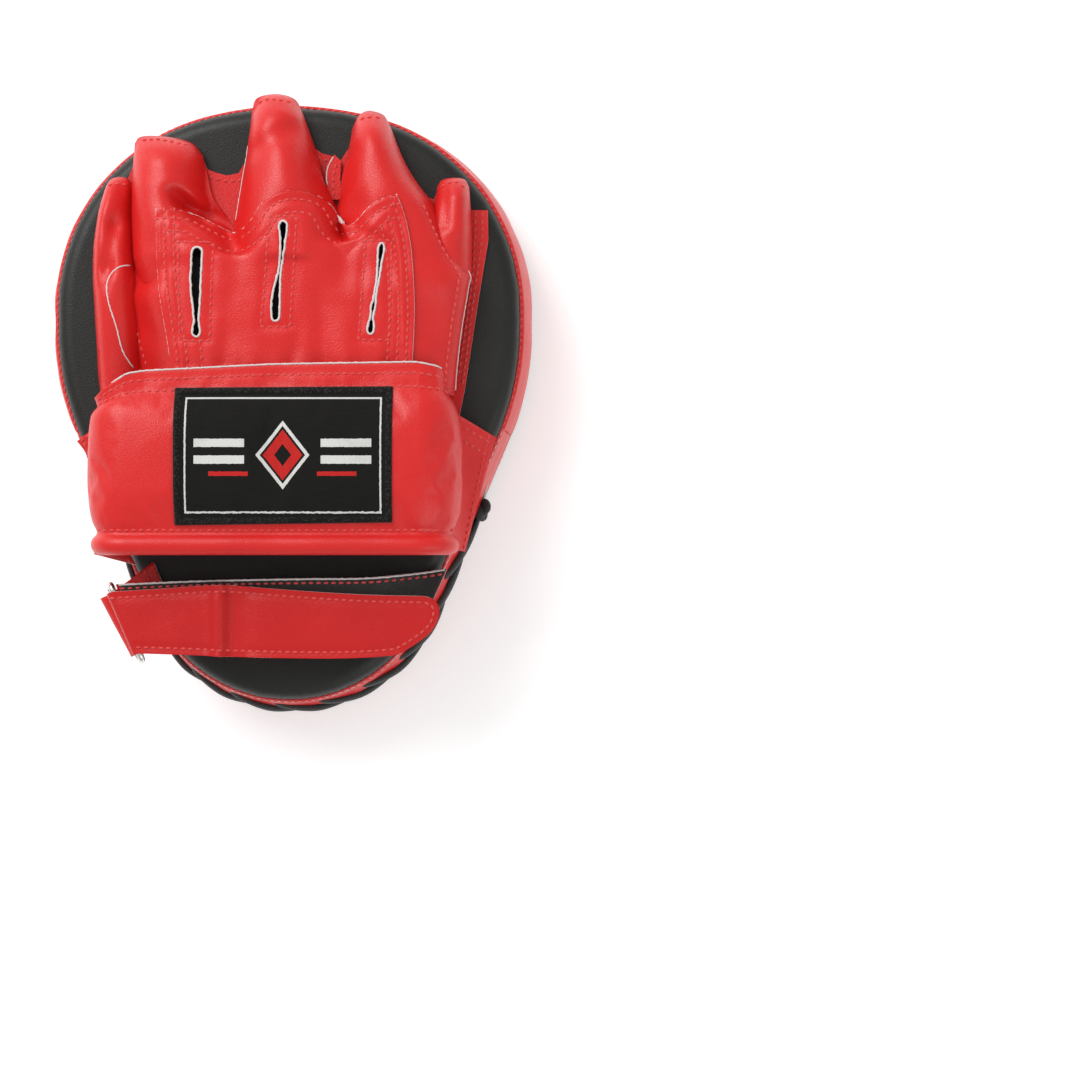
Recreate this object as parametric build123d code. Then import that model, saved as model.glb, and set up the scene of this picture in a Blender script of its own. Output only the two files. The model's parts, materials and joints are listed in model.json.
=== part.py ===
from build123d import *
import math
import os

# Focus mitt for the right hand, lying on its striking face.
# Millimetres. The origin is the centre of the target on the striking face, which is
# the plane z = 0. +Y points to the fingertips, +Z to the glove, +X to the little finger.

# ---------------------------------------------------------------- pad
PAD_WIDTH = 205.0
PAD_LENGTH = 260.0
PAD_THICKNESS = 50.0
TARGET_TO_TIP = 115.0
CROWN_RADIUS = 140.0
SHOULDER_RADIUS = 88.0
FLANK_LENGTH = 8.0
CHEEK_RADIUS = 120.0
TAPER_ANGLE = 22.8
BACK_INSET = 3.0
COVER_THICKNESS = 1.5
FRONT_SEAM_Z = 8.0
BACK_SEAM_Z = 43.0
EDGE_ROUNDING = 6.5
BINDING_WIDTH = 2.2
BINDING_HEIGHT = 2.4
IMPACT_FOAM_TOP = 18.0
CORE_FOAM_TOP = 34.0
LAYER_GAP = 0.1

# ---------------------------------------------------------------- laced wall
WALL_JOIN_Y = -27.0
LACE_START_Y = -60.0
BAND_WIDTH = 13.0
BAND_SPLIT_LEAD = 8.0
HOLE_INSET = 4.5
HOLE_PITCH = 21.0
LACE_DIAMETER = 3.2
HOLE_CLEARANCE = 0.8
LACE_STAND_OFF = 1.0
LACE_BEND = 2.3

# ---------------------------------------------------------------- glove
PANEL_THICKNESS = 1.2
GLOVE_GAP = 0.3
HAND_FRONT_Y = 44.0
HAND_LEFT_X = -64.0
HAND_RIGHT_X = 78.5
HAND_HEIGHT = 24.0
HAND_TUCK = 10.0
KNUCKLE_TIP_Y = 71.0
KNUCKLE_LEFT_X = -51.0
KNUCKLE_RIGHT_X = 54.0
KNUCKLE_TIP_HEIGHT = 20.5
SLOT_WIDTH = 3.5
SLOT_LENGTH = 34.0
FLANGE_WIDTH = 8.0
PALM_REAR_Y = -9.0

# Each finger sleeve: centre and width at the base, centre and width at the tip,
# height at the base, height at the tip, and how far forward the tip reaches.
SLEEVES = {
    "thumb_sleeve": (-76.6, 12.0, -73.0, 13.5, 17.0, 12.0, 80.0),
    "index_sleeve": (-42.2, 42.6, -50.4, 28.0, 23.0, 14.0, 96.0),
    "middle_sleeve": (3.8, 45.8, -5.4, 23.0, 24.0, 11.0, 114.0),
    "ring_sleeve": (45.4, 34.6, 36.0, 18.0, 23.0, 11.0, 107.0),
    "little_sleeve": (71.0, 14.0, 70.2, 13.5, 15.0, 11.0, 79.0),
}
THUMB_BASE_Y = 2.0
THUMB_DOOR_LENGTH = 26.0
THUMB_DOOR_HEIGHT = 11.0
THUMB_DOOR_REACH = 6.0

# ---------------------------------------------------------------- cuff
CUFF_CENTER_X = -2.5
CUFF_WIDTH = 149.0
CUFF_HEIGHT = 34.5
CUFF_TOP_Y = -1.0
CUFF_BOTTOM_Y = -73.0
CUFF_CORNER = 19.0
CUFF_WALL = 7.5
CUFF_LINING = 1.0
ROLL_RADIUS = 4.0
LABEL_WIDTH = 89.0
LABEL_LENGTH = 57.0
LABEL_CENTER = (2.0, -38.6)
LABEL_THICKNESS = 1.0

# ---------------------------------------------------------------- strap and ring
STRAP_THICKNESS = 1.3
STRAP_WIDTH = 28.0
FLAP_CENTER_Y = -107.0
FLAP_END_X = 64.5
UNDER_CENTER_LEFT_Y = -105.2
UNDER_CENTER_RIGHT_Y = -100.0
TAPE_THICKNESS = 1.3
TAPE_GAP = 0.35
HOOK_PATCH_LENGTH = 48.0
STRAP_END_INSET = 1.5
STRAP_SEWN_LENGTH = 3.0
STRAP_SLOPE_RUN = 16.0
RING_WIRE_RADIUS = 1.4
RING_SIDE_ROOM = 3.0
RING_DEPTH = 11.4
RING_CORNER = 3.0
RING_LEAN = 2.8
RING_OVERHANG = 10.0
RING_ALONG_EDGE = 73.0
RING_FIT = 0.15
TAB_WIDTH = 26.0
TAB_LENGTH = 18.0

os.makedirs("parts", exist_ok=True)

# Values that follow from the sizes above.
HALF_WIDTH = PAD_WIDTH / 2
TAPER = math.radians(TAPER_ANGLE)
CROWN_Y = TARGET_TO_TIP - CROWN_RADIUS
SHOULDER_X = HALF_WIDTH - SHOULDER_RADIUS
SHOULDER_Y = CROWN_Y + math.sqrt((CROWN_RADIUS - SHOULDER_RADIUS) ** 2 - SHOULDER_X**2)
CHEEK_X = HALF_WIDTH - CHEEK_RADIUS
CHEEK_Y = SHOULDER_Y - FLANK_LENGTH
WRIST_Y = TARGET_TO_TIP - PAD_LENGTH
EDGE_NORMAL = (math.cos(TAPER), -math.sin(TAPER))
EDGE_DISTANCE = CHEEK_RADIUS + EDGE_NORMAL[0] * CHEEK_X + EDGE_NORMAL[1] * CHEEK_Y
WRIST_CENTER_Y = (EDGE_DISTANCE + WRIST_Y) / (1 - math.sin(TAPER))
WRIST_RADIUS = WRIST_CENTER_Y - WRIST_Y
BIG = 4 * PAD_LENGTH


def outline(inset, z=0.0):
    """The pad's teardrop outline, moved inward by inset, as a face at height z."""
    spread = math.degrees(math.atan2(SHOULDER_X, SHOULDER_Y - CROWN_Y))
    side = HALF_WIDTH - inset
    cheek_end = (
        CHEEK_X + (CHEEK_RADIUS - inset) * math.cos(TAPER),
        CHEEK_Y - (CHEEK_RADIUS - inset) * math.sin(TAPER),
    )
    wrist_end = (
        (WRIST_RADIUS - inset) * math.cos(TAPER),
        WRIST_CENTER_Y - (WRIST_RADIUS - inset) * math.sin(TAPER),
    )
    half = [
        CenterArc((0, CROWN_Y), CROWN_RADIUS - inset, 90 - spread, spread),
        CenterArc((SHOULDER_X, SHOULDER_Y), SHOULDER_RADIUS - inset, 0, 90 - spread),
        Line((side, SHOULDER_Y), (side, CHEEK_Y)),
        CenterArc((CHEEK_X, CHEEK_Y), CHEEK_RADIUS - inset, -TAPER_ANGLE, TAPER_ANGLE),
        Line(cheek_end, wrist_end),
        CenterArc((0, WRIST_CENTER_Y), WRIST_RADIUS - inset, -90, 90 - TAPER_ANGLE),
    ]
    edges = half + [edge.mirror(Plane.YZ) for edge in half]
    return Pos(0, 0, z) * make_face(Wire(edges))


def inset_at(z):
    """How far the wall stands inside the pad's overall outline at height z."""
    slope = BACK_INSET / (BACK_SEAM_Z - FRONT_SEAM_Z)
    return BINDING_WIDTH - LAYER_GAP + slope * (z - FRONT_SEAM_Z)


def pad_block(skin):
    """The pad's volume inside a cover of the given thickness, with rounded rims."""
    bottom = outline(inset_at(0) + skin, skin)
    top = outline(inset_at(PAD_THICKNESS) + skin, PAD_THICKNESS - skin)
    block = loft([bottom, top], ruled=True)
    rims = block.edges().group_by(Axis.Z)
    return fillet(rims[0] + rims[-1], EDGE_ROUNDING - skin)


def slab(z_low, z_high):
    """Everything between two heights."""
    return Pos(0, 0, (z_low + z_high) / 2) * Box(BIG, BIG, z_high - z_low)


def beyond(y, toward_wrist=True):
    """Everything on the wrist side of y, or on the fingertip side."""
    side = -1 if toward_wrist else 1
    return Pos(0, y + side * BIG / 2, 0) * Box(BIG, BIG, BIG)


def write(name, shape):
    shape.label = name
    export_step(shape, f"parts/{name}.step")


# ---------------------------------------------------------------- covers and foam
outer_block = pad_block(0)
inner_block = pad_block(COVER_THICKNESS)
shell = outer_block - inner_block
wall = shell & slab(FRONT_SEAM_Z, BACK_SEAM_Z)

write("front_cover", shell & slab(-BIG, FRONT_SEAM_Z))
write("back_cover", shell & slab(BACK_SEAM_Z, BIG))
write("side_wall", wall & beyond(WALL_JOIN_Y, toward_wrist=False))

lace_room = 2 * COVER_THICKNESS + LACE_DIAMETER + LACE_STAND_OFF
foam_limit = extrude(outline(inset_at(BACK_SEAM_Z) + lace_room), PAD_THICKNESS)
foam_limit += beyond(LACE_START_Y + BAND_SPLIT_LEAD, toward_wrist=False)
foam = pad_block(COVER_THICKNESS + LAYER_GAP) & foam_limit
write("impact_foam", foam & slab(0, IMPACT_FOAM_TOP))
write("core_foam", foam & slab(IMPACT_FOAM_TOP + LAYER_GAP, CORE_FOAM_TOP))
write("backing_foam", foam & slab(CORE_FOAM_TOP + LAYER_GAP, PAD_THICKNESS))


def binding(seam_z):
    """The flat red edge that is sewn round a cover's seam."""
    inner = inset_at(seam_z) + LAYER_GAP
    ring = outline(inner - BINDING_WIDTH) - outline(inner)
    ring = extrude(ring, BINDING_HEIGHT)
    return Pos(0, 0, seam_z - BINDING_HEIGHT / 2) * ring - outer_block


write("front_binding", binding(FRONT_SEAM_Z))
write("back_binding", binding(BACK_SEAM_Z))


# ---------------------------------------------------------------- lacing
LACE_LEAD = (WRIST_CENTER_Y - WRIST_RADIUS * math.sin(TAPER) - LACE_START_Y) / -math.cos(TAPER)
WRIST_SWEEP = math.pi - 2 * TAPER
LACE_RUN = 2 * LACE_LEAD + WRIST_RADIUS * WRIST_SWEEP
HOLE_COUNT = round(LACE_RUN / HOLE_PITCH)
HOLE_SPACING = LACE_RUN / (HOLE_COUNT + 0.5)
FRONT_HOLE_Z = FRONT_SEAM_Z + BAND_WIDTH - HOLE_INSET
BACK_HOLE_Z = BACK_SEAM_Z - BAND_WIDTH + HOLE_INSET


def wall_point(run, inset):
    """A point on the wrist-end wall, run millimetres from the right-hand start of the
    lacing, moved inward by inset, and the wall's outward direction there."""
    arc_end = LACE_LEAD + WRIST_RADIUS * WRIST_SWEEP
    if run < LACE_LEAD:
        angle, along = -TAPER, run - LACE_LEAD
    elif run > arc_end:
        angle, along = TAPER - math.pi, run - arc_end
    else:
        angle, along = -TAPER - (run - LACE_LEAD) / WRIST_RADIUS, 0.0
    out = (math.cos(angle), math.sin(angle))
    reach = WRIST_RADIUS - inset
    x = reach * out[0] + along * out[1]
    y = WRIST_CENTER_Y + reach * out[1] - along * out[0]
    return x, y, out


def lace_holes(z, shift):
    """Cylinders that punch one row of lace holes through the wall at height z."""
    radius = (LACE_DIAMETER + HOLE_CLEARANCE) / 2
    holes = []
    for number in range(HOLE_COUNT + 1):
        x, y, out = wall_point((number + shift) * HOLE_SPACING, inset_at(z))
        plane = Plane(origin=(x, y, z), z_dir=(out[0], out[1], 0))
        holes.append(plane * Cylinder(radius, 6 * COVER_THICKNESS))
    return holes


laced_wall = wall & beyond(WALL_JOIN_Y - LAYER_GAP)
middle_z = (FRONT_SEAM_Z + BACK_SEAM_Z) / 2
lace_gap = slab(FRONT_SEAM_Z + BAND_WIDTH, BACK_SEAM_Z - BAND_WIDTH)
lace_gap &= beyond(LACE_START_Y + BAND_SPLIT_LEAD)
front_band = (laced_wall & slab(FRONT_SEAM_Z, middle_z - LAYER_GAP)) - lace_gap
back_band = (laced_wall & slab(middle_z + LAYER_GAP, BACK_SEAM_Z)) - lace_gap
write("lacing_band_front", front_band - lace_holes(FRONT_HOLE_Z, 0.0))
write("lacing_band_back", back_band - lace_holes(BACK_HOLE_Z, 0.5))

# The lace winds through the two rows of holes like a coil spring round the gap:
# slantwise outside, in through a hole, slantwise back inside, out through the next.
outside = -(LACE_STAND_OFF + LACE_DIAMETER / 2)
inside = COVER_THICKNESS + LACE_STAND_OFF + LACE_DIAMETER / 2


def lace_corner(step, z, offset):
    x, y, _ = wall_point(step * HOLE_SPACING, inset_at(z) + offset)
    return (x, y, z)


lace_points = []
for number in range(HOLE_COUNT + 1):
    lace_points.append(lace_corner(number, FRONT_HOLE_Z, inside))
    lace_points.append(lace_corner(number, FRONT_HOLE_Z, outside))
    lace_points.append(lace_corner(number + 0.5, BACK_HOLE_Z, outside))
    lace_points.append(lace_corner(number + 0.5, BACK_HOLE_Z, inside))
lace_path = FilletPolyline(*lace_points, radius=LACE_BEND)
lace_section = Plane(origin=lace_path @ 0, z_dir=lace_path % 0) * Circle(LACE_DIAMETER / 2)
write("lace", sweep(lace_section, path=lace_path))


# ---------------------------------------------------------------- glove
GLOVE_Z = PAD_THICKNESS + LAYER_GAP
HAND_Z = GLOVE_Z + PANEL_THICKNESS + LAYER_GAP


def arch(center_x, width, height, y, floor_z, corner=None):
    """A flat-bottomed arch profile, standing across the mitt at y."""
    limit = 0.48 * min(width, 1.9 * height)
    flat = Pos(center_x, floor_z + height / 2) * Rectangle(width, height)
    flat = fillet(flat.vertices().group_by(Axis.Y)[-1], min(corner or limit, limit))
    return Plane(origin=(0, y, 0), x_dir=(1, 0, 0), z_dir=(0, -1, 0)) * flat


def tube(start, end, wall_thickness, floor_z, open_end=False):
    """A hollow arch that runs from one profile to another, open at the start.
    Each profile is (centre x, width, height, y)."""
    outside_shape = loft([arch(*start, floor_z), arch(*end, floor_z)], ruled=True)
    x0, w0, h0, y0 = start
    x1, w1, h1, y1 = end
    ahead = 0.0 if open_end else wall_thickness
    first = arch(x0, w0 - 2 * wall_thickness, h0 - wall_thickness, y0, floor_z)
    last = arch(x1, w1 - 2 * wall_thickness, h1 - wall_thickness, y1 - ahead, floor_z)
    return outside_shape - loft([first, last], ruled=True)


# The thumb's sleeve opens sideways into the hand's pocket through a doorway.
door_left_x = SLEEVES["thumb_sleeve"][0]
door_right_x = HAND_LEFT_X + THUMB_DOOR_REACH
door_x = (door_left_x + door_right_x) / 2
door_size = Box(door_right_x - door_left_x, THUMB_DOOR_LENGTH, 2 * THUMB_DOOR_HEIGHT)
thumb_door = Pos(door_x, THUMB_BASE_Y + 2 + THUMB_DOOR_LENGTH / 2, HAND_Z) * door_size

sleeve_base_y = HAND_FRONT_Y + GLOVE_GAP
for name, (base_x, base_w, tip_x, tip_w, base_h, tip_h, tip_y) in SLEEVES.items():
    base_y = THUMB_BASE_Y if name == "thumb_sleeve" else sleeve_base_y
    start = (base_x, base_w, base_h, base_y)
    end = (tip_x, tip_w, tip_h, tip_y)
    sleeve = tube(start, end, PANEL_THICKNESS, HAND_Z)
    write(name, sleeve - thumb_door if name == "thumb_sleeve" else sleeve)

cuff_left = CUFF_CENTER_X - CUFF_WIDTH / 2
hand_tuck_width = CUFF_WIDTH - 2 * (CUFF_WALL + GLOVE_GAP + 1)
hand_center_x = (HAND_LEFT_X + HAND_RIGHT_X) / 2
hand_width = HAND_RIGHT_X - HAND_LEFT_X


def hand_cover(lift, rear_y, front_y, front_height):
    """A leather layer over the back of the hand, lifted by lift: straight where it
    tucks under the cuff, and widening to the roots of the fingers."""
    tuck = (CUFF_CENTER_X, hand_tuck_width + 2 * lift, HAND_HEIGHT + lift)
    roots = (hand_center_x, hand_width + 2 * lift, HAND_HEIGHT + lift)
    ahead = (hand_center_x, hand_width + 2 * lift, front_height + lift)
    stations = [(*tuck, rear_y), (*tuck, CUFF_TOP_Y), (*roots, HAND_FRONT_Y), (*ahead, front_y)]
    spans = [pair for pair in zip(stations, stations[1:]) if pair[1][3] > pair[0][3]]
    cover = tube(*spans[0], PANEL_THICKNESS, HAND_Z, open_end=True)
    for start, end in spans[1:]:
        cover += tube(start, end, PANEL_THICKNESS, HAND_Z, open_end=True)
    return cover


slot_centers = [(-36.0, 30.0), (0.0, 38.0), (37.0, 31.0)]
slot_cutter = Pos(0, 0, HAND_Z + HAND_HEIGHT) * Box(SLOT_WIDTH, SLOT_LENGTH, HAND_HEIGHT)
slots = [Pos(x, y, 0) * slot_cutter for x, y in slot_centers]
hand_back = hand_cover(0, CUFF_TOP_Y - HAND_TUCK, HAND_FRONT_Y, HAND_HEIGHT)
write("hand_back_panel", hand_back - slots - thumb_door)

# The knuckle panel is cut to a plan with a scalloped leading edge, and lies over the
# hand panel and the roots of the sleeves.
knuckle_edge = Spline(
    (KNUCKLE_LEFT_X, KNUCKLE_TIP_Y - 9),
    (-19.0, KNUCKLE_TIP_Y - 17),
    (4.0, KNUCKLE_TIP_Y),
    (29.0, KNUCKLE_TIP_Y - 18),
    (KNUCKLE_RIGHT_X - 4, KNUCKLE_TIP_Y - 3),
)
knuckle_rear_y = CUFF_TOP_Y + GLOVE_GAP
knuckle_sides = Polyline(
    (KNUCKLE_RIGHT_X - 4, KNUCKLE_TIP_Y - 3),
    (KNUCKLE_RIGHT_X, knuckle_rear_y),
    (KNUCKLE_LEFT_X, knuckle_rear_y),
    (KNUCKLE_LEFT_X, KNUCKLE_TIP_Y - 9),
)
knuckle_plan = extrude(make_face(Wire([knuckle_edge, *knuckle_sides.edges()])), BIG)
knuckle_lift = GLOVE_GAP + PANEL_THICKNESS
knuckle = hand_cover(knuckle_lift, CUFF_TOP_Y, KNUCKLE_TIP_Y + 1, KNUCKLE_TIP_HEIGHT)
write("knuckle_panel", (knuckle & knuckle_plan) - slots)

# The palm panel is the glove's floor, sewn to the back cover, with a stitched flange
# that shows beyond the little finger.
palm_plan = Polyline(
    (-82, PALM_REAR_Y), (-82, 80), (-66, 81), (-65, 97), (-35, 97), (-19, 62), (-17.5, 112),
    (6.5, 112), (24, 66), (26, 106), (46, 106), (62, 80), (HAND_RIGHT_X, 80),
    (HAND_RIGHT_X, 67), (HAND_RIGHT_X + FLANGE_WIDTH, 67), (HAND_RIGHT_X - 1, CUFF_TOP_Y),
    (cuff_left + CUFF_WIDTH - 1, PALM_REAR_Y),
    close=True,
)
write("palm_panel", Pos(0, 0, GLOVE_Z) * extrude(make_face(palm_plan), PANEL_THICKNESS))


# ---------------------------------------------------------------- cuff
def cuff_arch(depth, y):
    """The cuff's profile, moved inward by depth from its outer face."""
    corner = CUFF_CORNER - depth
    return arch(CUFF_CENTER_X, CUFF_WIDTH - 2 * depth, CUFF_HEIGHT - depth, y, GLOVE_Z, corner)


def cuff_layer(outer_depth, inner_depth):
    ring = cuff_arch(outer_depth, CUFF_TOP_Y) - cuff_arch(inner_depth, CUFF_TOP_Y)
    return extrude(ring, CUFF_TOP_Y - CUFF_BOTTOM_Y)


palm_clear = slab(-BIG, GLOVE_Z + PANEL_THICKNESS + LAYER_GAP)
palm_clear &= beyond(PALM_REAR_Y - LAYER_GAP, toward_wrist=False)
padding_start = PANEL_THICKNESS + LAYER_GAP
padding_end = CUFF_WALL - CUFF_LINING - LAYER_GAP
write("cuff_shell", cuff_layer(0, PANEL_THICKNESS) - palm_clear)
write("cuff_padding", cuff_layer(padding_start, padding_end) - palm_clear)
write("cuff_lining", cuff_layer(CUFF_WALL - CUFF_LINING, CUFF_WALL) - palm_clear)

roll_depth = CUFF_WALL / 2
roll_y = CUFF_BOTTOM_Y - LAYER_GAP - ROLL_RADIUS
roll_x = CUFF_WIDTH / 2 - roll_depth
roll_top = GLOVE_Z + CUFF_HEIGHT - roll_depth
roll_path = FilletPolyline(
    (CUFF_CENTER_X - roll_x, roll_y, GLOVE_Z),
    (CUFF_CENTER_X - roll_x, roll_y, roll_top),
    (CUFF_CENTER_X + roll_x, roll_y, roll_top),
    (CUFF_CENTER_X + roll_x, roll_y, GLOVE_Z),
    radius=CUFF_CORNER - roll_depth,
)
roll_section = Plane(origin=roll_path @ 0, z_dir=roll_path % 0) * Circle(ROLL_RADIUS)
write("cuff_edge_roll", sweep(roll_section, path=roll_path))

label_top = GLOVE_Z + CUFF_HEIGHT + LAYER_GAP + LABEL_THICKNESS / 2
write("cuff_label", Pos(*LABEL_CENTER, label_top) * Box(LABEL_WIDTH, LABEL_LENGTH, LABEL_THICKNESS))

cuff_right = cuff_left + CUFF_WIDTH


def edge_x(y, inset):
    """Where the pad's straight side is at y, moved inward by inset."""
    return (EDGE_DISTANCE - inset - EDGE_NORMAL[1] * y) / EDGE_NORMAL[0]


def edge_y(x, inset):
    """Where the pad's straight side is at x, moved inward by inset."""
    return (EDGE_DISTANCE - inset - EDGE_NORMAL[0] * x) / EDGE_NORMAL[1]


def gusset(side_x, top_y, corner_drop):
    """A three-cornered flap between the cuff's side and the pad's edge."""
    inset = inset_at(PAD_THICKNESS) + EDGE_ROUNDING / 2
    corner_y = top_y - corner_drop
    return make_face(
        Polyline(
            (side_x, top_y),
            (edge_x(corner_y, inset), corner_y),
            (side_x, edge_y(side_x, inset)),
            close=True,
        )
    )


right_gusset = gusset(cuff_right + GLOVE_GAP, -21, 9)
left_gusset = gusset(-(cuff_left - GLOVE_GAP), -31, 4).mirror(Plane.YZ)
write("cuff_gusset_right", Pos(0, 0, GLOVE_Z) * extrude(right_gusset, PANEL_THICKNESS))
write("cuff_gusset_left", Pos(0, 0, GLOVE_Z) * extrude(left_gusset, PANEL_THICKNESS, dir=(0, 0, 1)))

# ---------------------------------------------------------------- ring and its tab
# The ring hangs over the pad's left edge. Its lower bar lies in the tab's fold, and
# the strap turns round its upper bar.
OUT_LEFT = (-EDGE_NORMAL[0], EDGE_NORMAL[1])
ALONG_LEFT = (-EDGE_NORMAL[1], -EDGE_NORMAL[0])
WRAP_INNER = RING_WIRE_RADIUS + RING_FIT
WRAP_OUTER = WRAP_INNER + STRAP_THICKNESS
RING_RISE = math.sqrt(RING_DEPTH**2 - RING_LEAN**2)
LOWER_BAR_OUT = EDGE_DISTANCE - BACK_INSET + RING_OVERHANG
UPPER_BAR_OUT = LOWER_BAR_OUT - RING_LEAN
LOWER_BAR_Z = PAD_THICKNESS + 2 * GLOVE_GAP + WRAP_OUTER
UPPER_BAR_Z = LOWER_BAR_Z + RING_RISE


def left_point(out, along, z):
    """A point given by its distance out from the target and along the left edge."""
    x = out * OUT_LEFT[0] + along * ALONG_LEFT[0]
    y = out * OUT_LEFT[1] + along * ALONG_LEFT[1]
    return (x, y, z)


def bar_plane(out, z):
    """A plane across a ring bar: local x points inboard and local y points up."""
    inboard = (-OUT_LEFT[0], -OUT_LEFT[1], 0)
    return Plane(origin=left_point(out, RING_ALONG_EDGE, z), x_dir=inboard, z_dir=(*ALONG_LEFT, 0))


lower_plane = bar_plane(LOWER_BAR_OUT, LOWER_BAR_Z)
upper_plane = bar_plane(UPPER_BAR_OUT, UPPER_BAR_Z)
ring_middle = (lower_plane.origin + upper_plane.origin) / 2
ring_up = upper_plane.origin - lower_plane.origin
ring_plane = Plane(origin=ring_middle, x_dir=(*ALONG_LEFT, 0), z_dir=Vector(*ALONG_LEFT, 0).cross(ring_up))
ring_length = STRAP_WIDTH + 2 * RING_SIDE_ROOM
ring_loop = (ring_plane * RectangleRounded(ring_length, RING_DEPTH, RING_CORNER)).face().outer_wire()
ring_section = Plane(origin=ring_loop @ 0, z_dir=ring_loop % 0) * Circle(RING_WIRE_RADIUS)
write("strap_ring", sweep(ring_section, path=ring_loop))

tail_height = 2 * STRAP_THICKNESS
tail = Pos(TAB_LENGTH - 4, -WRAP_OUTER + tail_height / 2) * Rectangle(8, tail_height)
tail_tip = Pos(TAB_LENGTH - 9, -WRAP_INNER + 0.1) * Rectangle(0.2, 0.2)
tab_outside = make_hull(Circle(WRAP_OUTER).edges() + tail.edges())
tab_inside = make_hull(Circle(WRAP_INNER).edges() + tail_tip.edges())
tab_profile = lower_plane * (tab_outside - tab_inside)
write("ring_tab", extrude(tab_profile, TAB_WIDTH / 2, both=True))

# ---------------------------------------------------------------- strap
UNDER_Z = UPPER_BAR_Z - WRAP_OUTER
FLAP_Z = UPPER_BAR_Z + WRAP_INNER
right_plane = Plane(
    origin=(0, 0, 0),
    x_dir=(EDGE_NORMAL[0], EDGE_NORMAL[1], 0),
    z_dir=(EDGE_NORMAL[1], -EDGE_NORMAL[0], 0),
)
strap_end = EDGE_DISTANCE - inset_at(PAD_THICKNESS) - STRAP_END_INSET
slope_foot = strap_end - STRAP_SEWN_LENGTH
slope_top = slope_foot - STRAP_SLOPE_RUN


def under_layer(lift, thickness, end):
    """One layer of the strap's fixed run: level from the ring, then down to the edge."""
    level = UNDER_Z + lift
    foot = GLOVE_Z + LAYER_GAP + lift
    side = [(-BIG, level), (slope_top, level), (slope_foot, foot), (end, foot)]
    upper = [(x, z + thickness) for x, z in reversed(side)]
    return extrude(right_plane * make_face(Polyline(*side, *upper, close=True)), BIG, both=True)


def under_plan(width, start_out):
    """The fixed run's plan, from the ring's slanting bar to beyond the right edge."""
    half = width / 2
    left_x, right_x = -90, 90
    plan = Polyline(
        (left_x, UNDER_CENTER_LEFT_Y - half),
        (right_x, UNDER_CENTER_RIGHT_Y - half),
        (right_x, UNDER_CENTER_RIGHT_Y + half),
        (left_x, UNDER_CENTER_LEFT_Y + half),
        close=True,
    )
    prism = extrude(make_face(plan), BIG)
    return prism & inboard_of(start_out)


def inboard_of(out):
    """Everything inboard of a line parallel to the ring's bars."""
    center = left_point(out - BIG / 2, RING_ALONG_EDGE, 0)
    plane = Plane(origin=center, x_dir=(*OUT_LEFT, 0), z_dir=(0, 0, 1))
    return plane * Box(BIG, BIG, BIG)


turn_lap = 4.0
under_start = UPPER_BAR_OUT - turn_lap - GLOVE_GAP
strap_plan = under_plan(STRAP_WIDTH, under_start)
write("strap_under", under_layer(0, STRAP_THICKNESS, strap_end) & strap_plan)
loop_lift = STRAP_THICKNESS + LAYER_GAP / 2
loop_plan = under_plan(STRAP_WIDTH - 2, under_start - 2)
write("strap_loop_strip", under_layer(loop_lift, TAPE_THICKNESS, strap_end - 1) & loop_plan)

turn = Circle(WRAP_OUTER) - Circle(WRAP_INNER)
turn &= Pos(-WRAP_OUTER, 0) * Rectangle(2 * WRAP_OUTER, 3 * WRAP_OUTER)
turn += Pos(turn_lap / 2, -(WRAP_OUTER + WRAP_INNER) / 2) * Rectangle(turn_lap, STRAP_THICKNESS)
write("strap_turn", extrude(upper_plane * turn, STRAP_WIDTH / 2, both=True))

# The flap starts far enough inboard of the bar to pass round the turn as it is peeled.
flap_start_gap = math.sqrt((WRAP_OUTER + 2 * GLOVE_GAP) ** 2 - WRAP_INNER**2)
flap_start = UPPER_BAR_OUT - flap_start_gap
flap_face = Pos(0, FLAP_CENTER_Y) * Rectangle(2 * FLAP_END_X, STRAP_WIDTH)
flap_face += Pos(-FLAP_END_X, FLAP_CENTER_Y) * Rectangle(40, STRAP_WIDTH)
right_corners = flap_face.vertices().group_by(Axis.X)[-1].sort_by(Axis.Y)
flap_face = fillet(right_corners[0], 14)
flap_face = fillet(flap_face.vertices().sort_by(Axis.X)[-1], 6)
flap = Pos(0, 0, FLAP_Z) * extrude(flap_face, STRAP_THICKNESS)
write("strap_flap", flap & inboard_of(flap_start))

patch_z = UNDER_Z + STRAP_THICKNESS + LAYER_GAP / 2 + TAPE_THICKNESS + TAPE_GAP
patch_height = FLAP_Z - LAYER_GAP / 2 - patch_z
patch_x = FLAP_END_X - 6 - HOOK_PATCH_LENGTH / 2
patch = Box(HOOK_PATCH_LENGTH, STRAP_WIDTH - 6, patch_height)
write("strap_hook_patch", Pos(patch_x, FLAP_CENTER_Y, patch_z + patch_height / 2) * patch)

print("ring hinge point", lower_plane.origin, "flap hinge point", upper_plane.origin)
print("hinge direction", ALONG_LEFT, "lace length", round(lace_path.length, 1), "holes", HOLE_COUNT + 1)
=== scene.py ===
import json
import math
import bpy
import numpy as np
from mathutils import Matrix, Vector, noise
from mathutils.bvhtree import BVHTree


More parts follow.
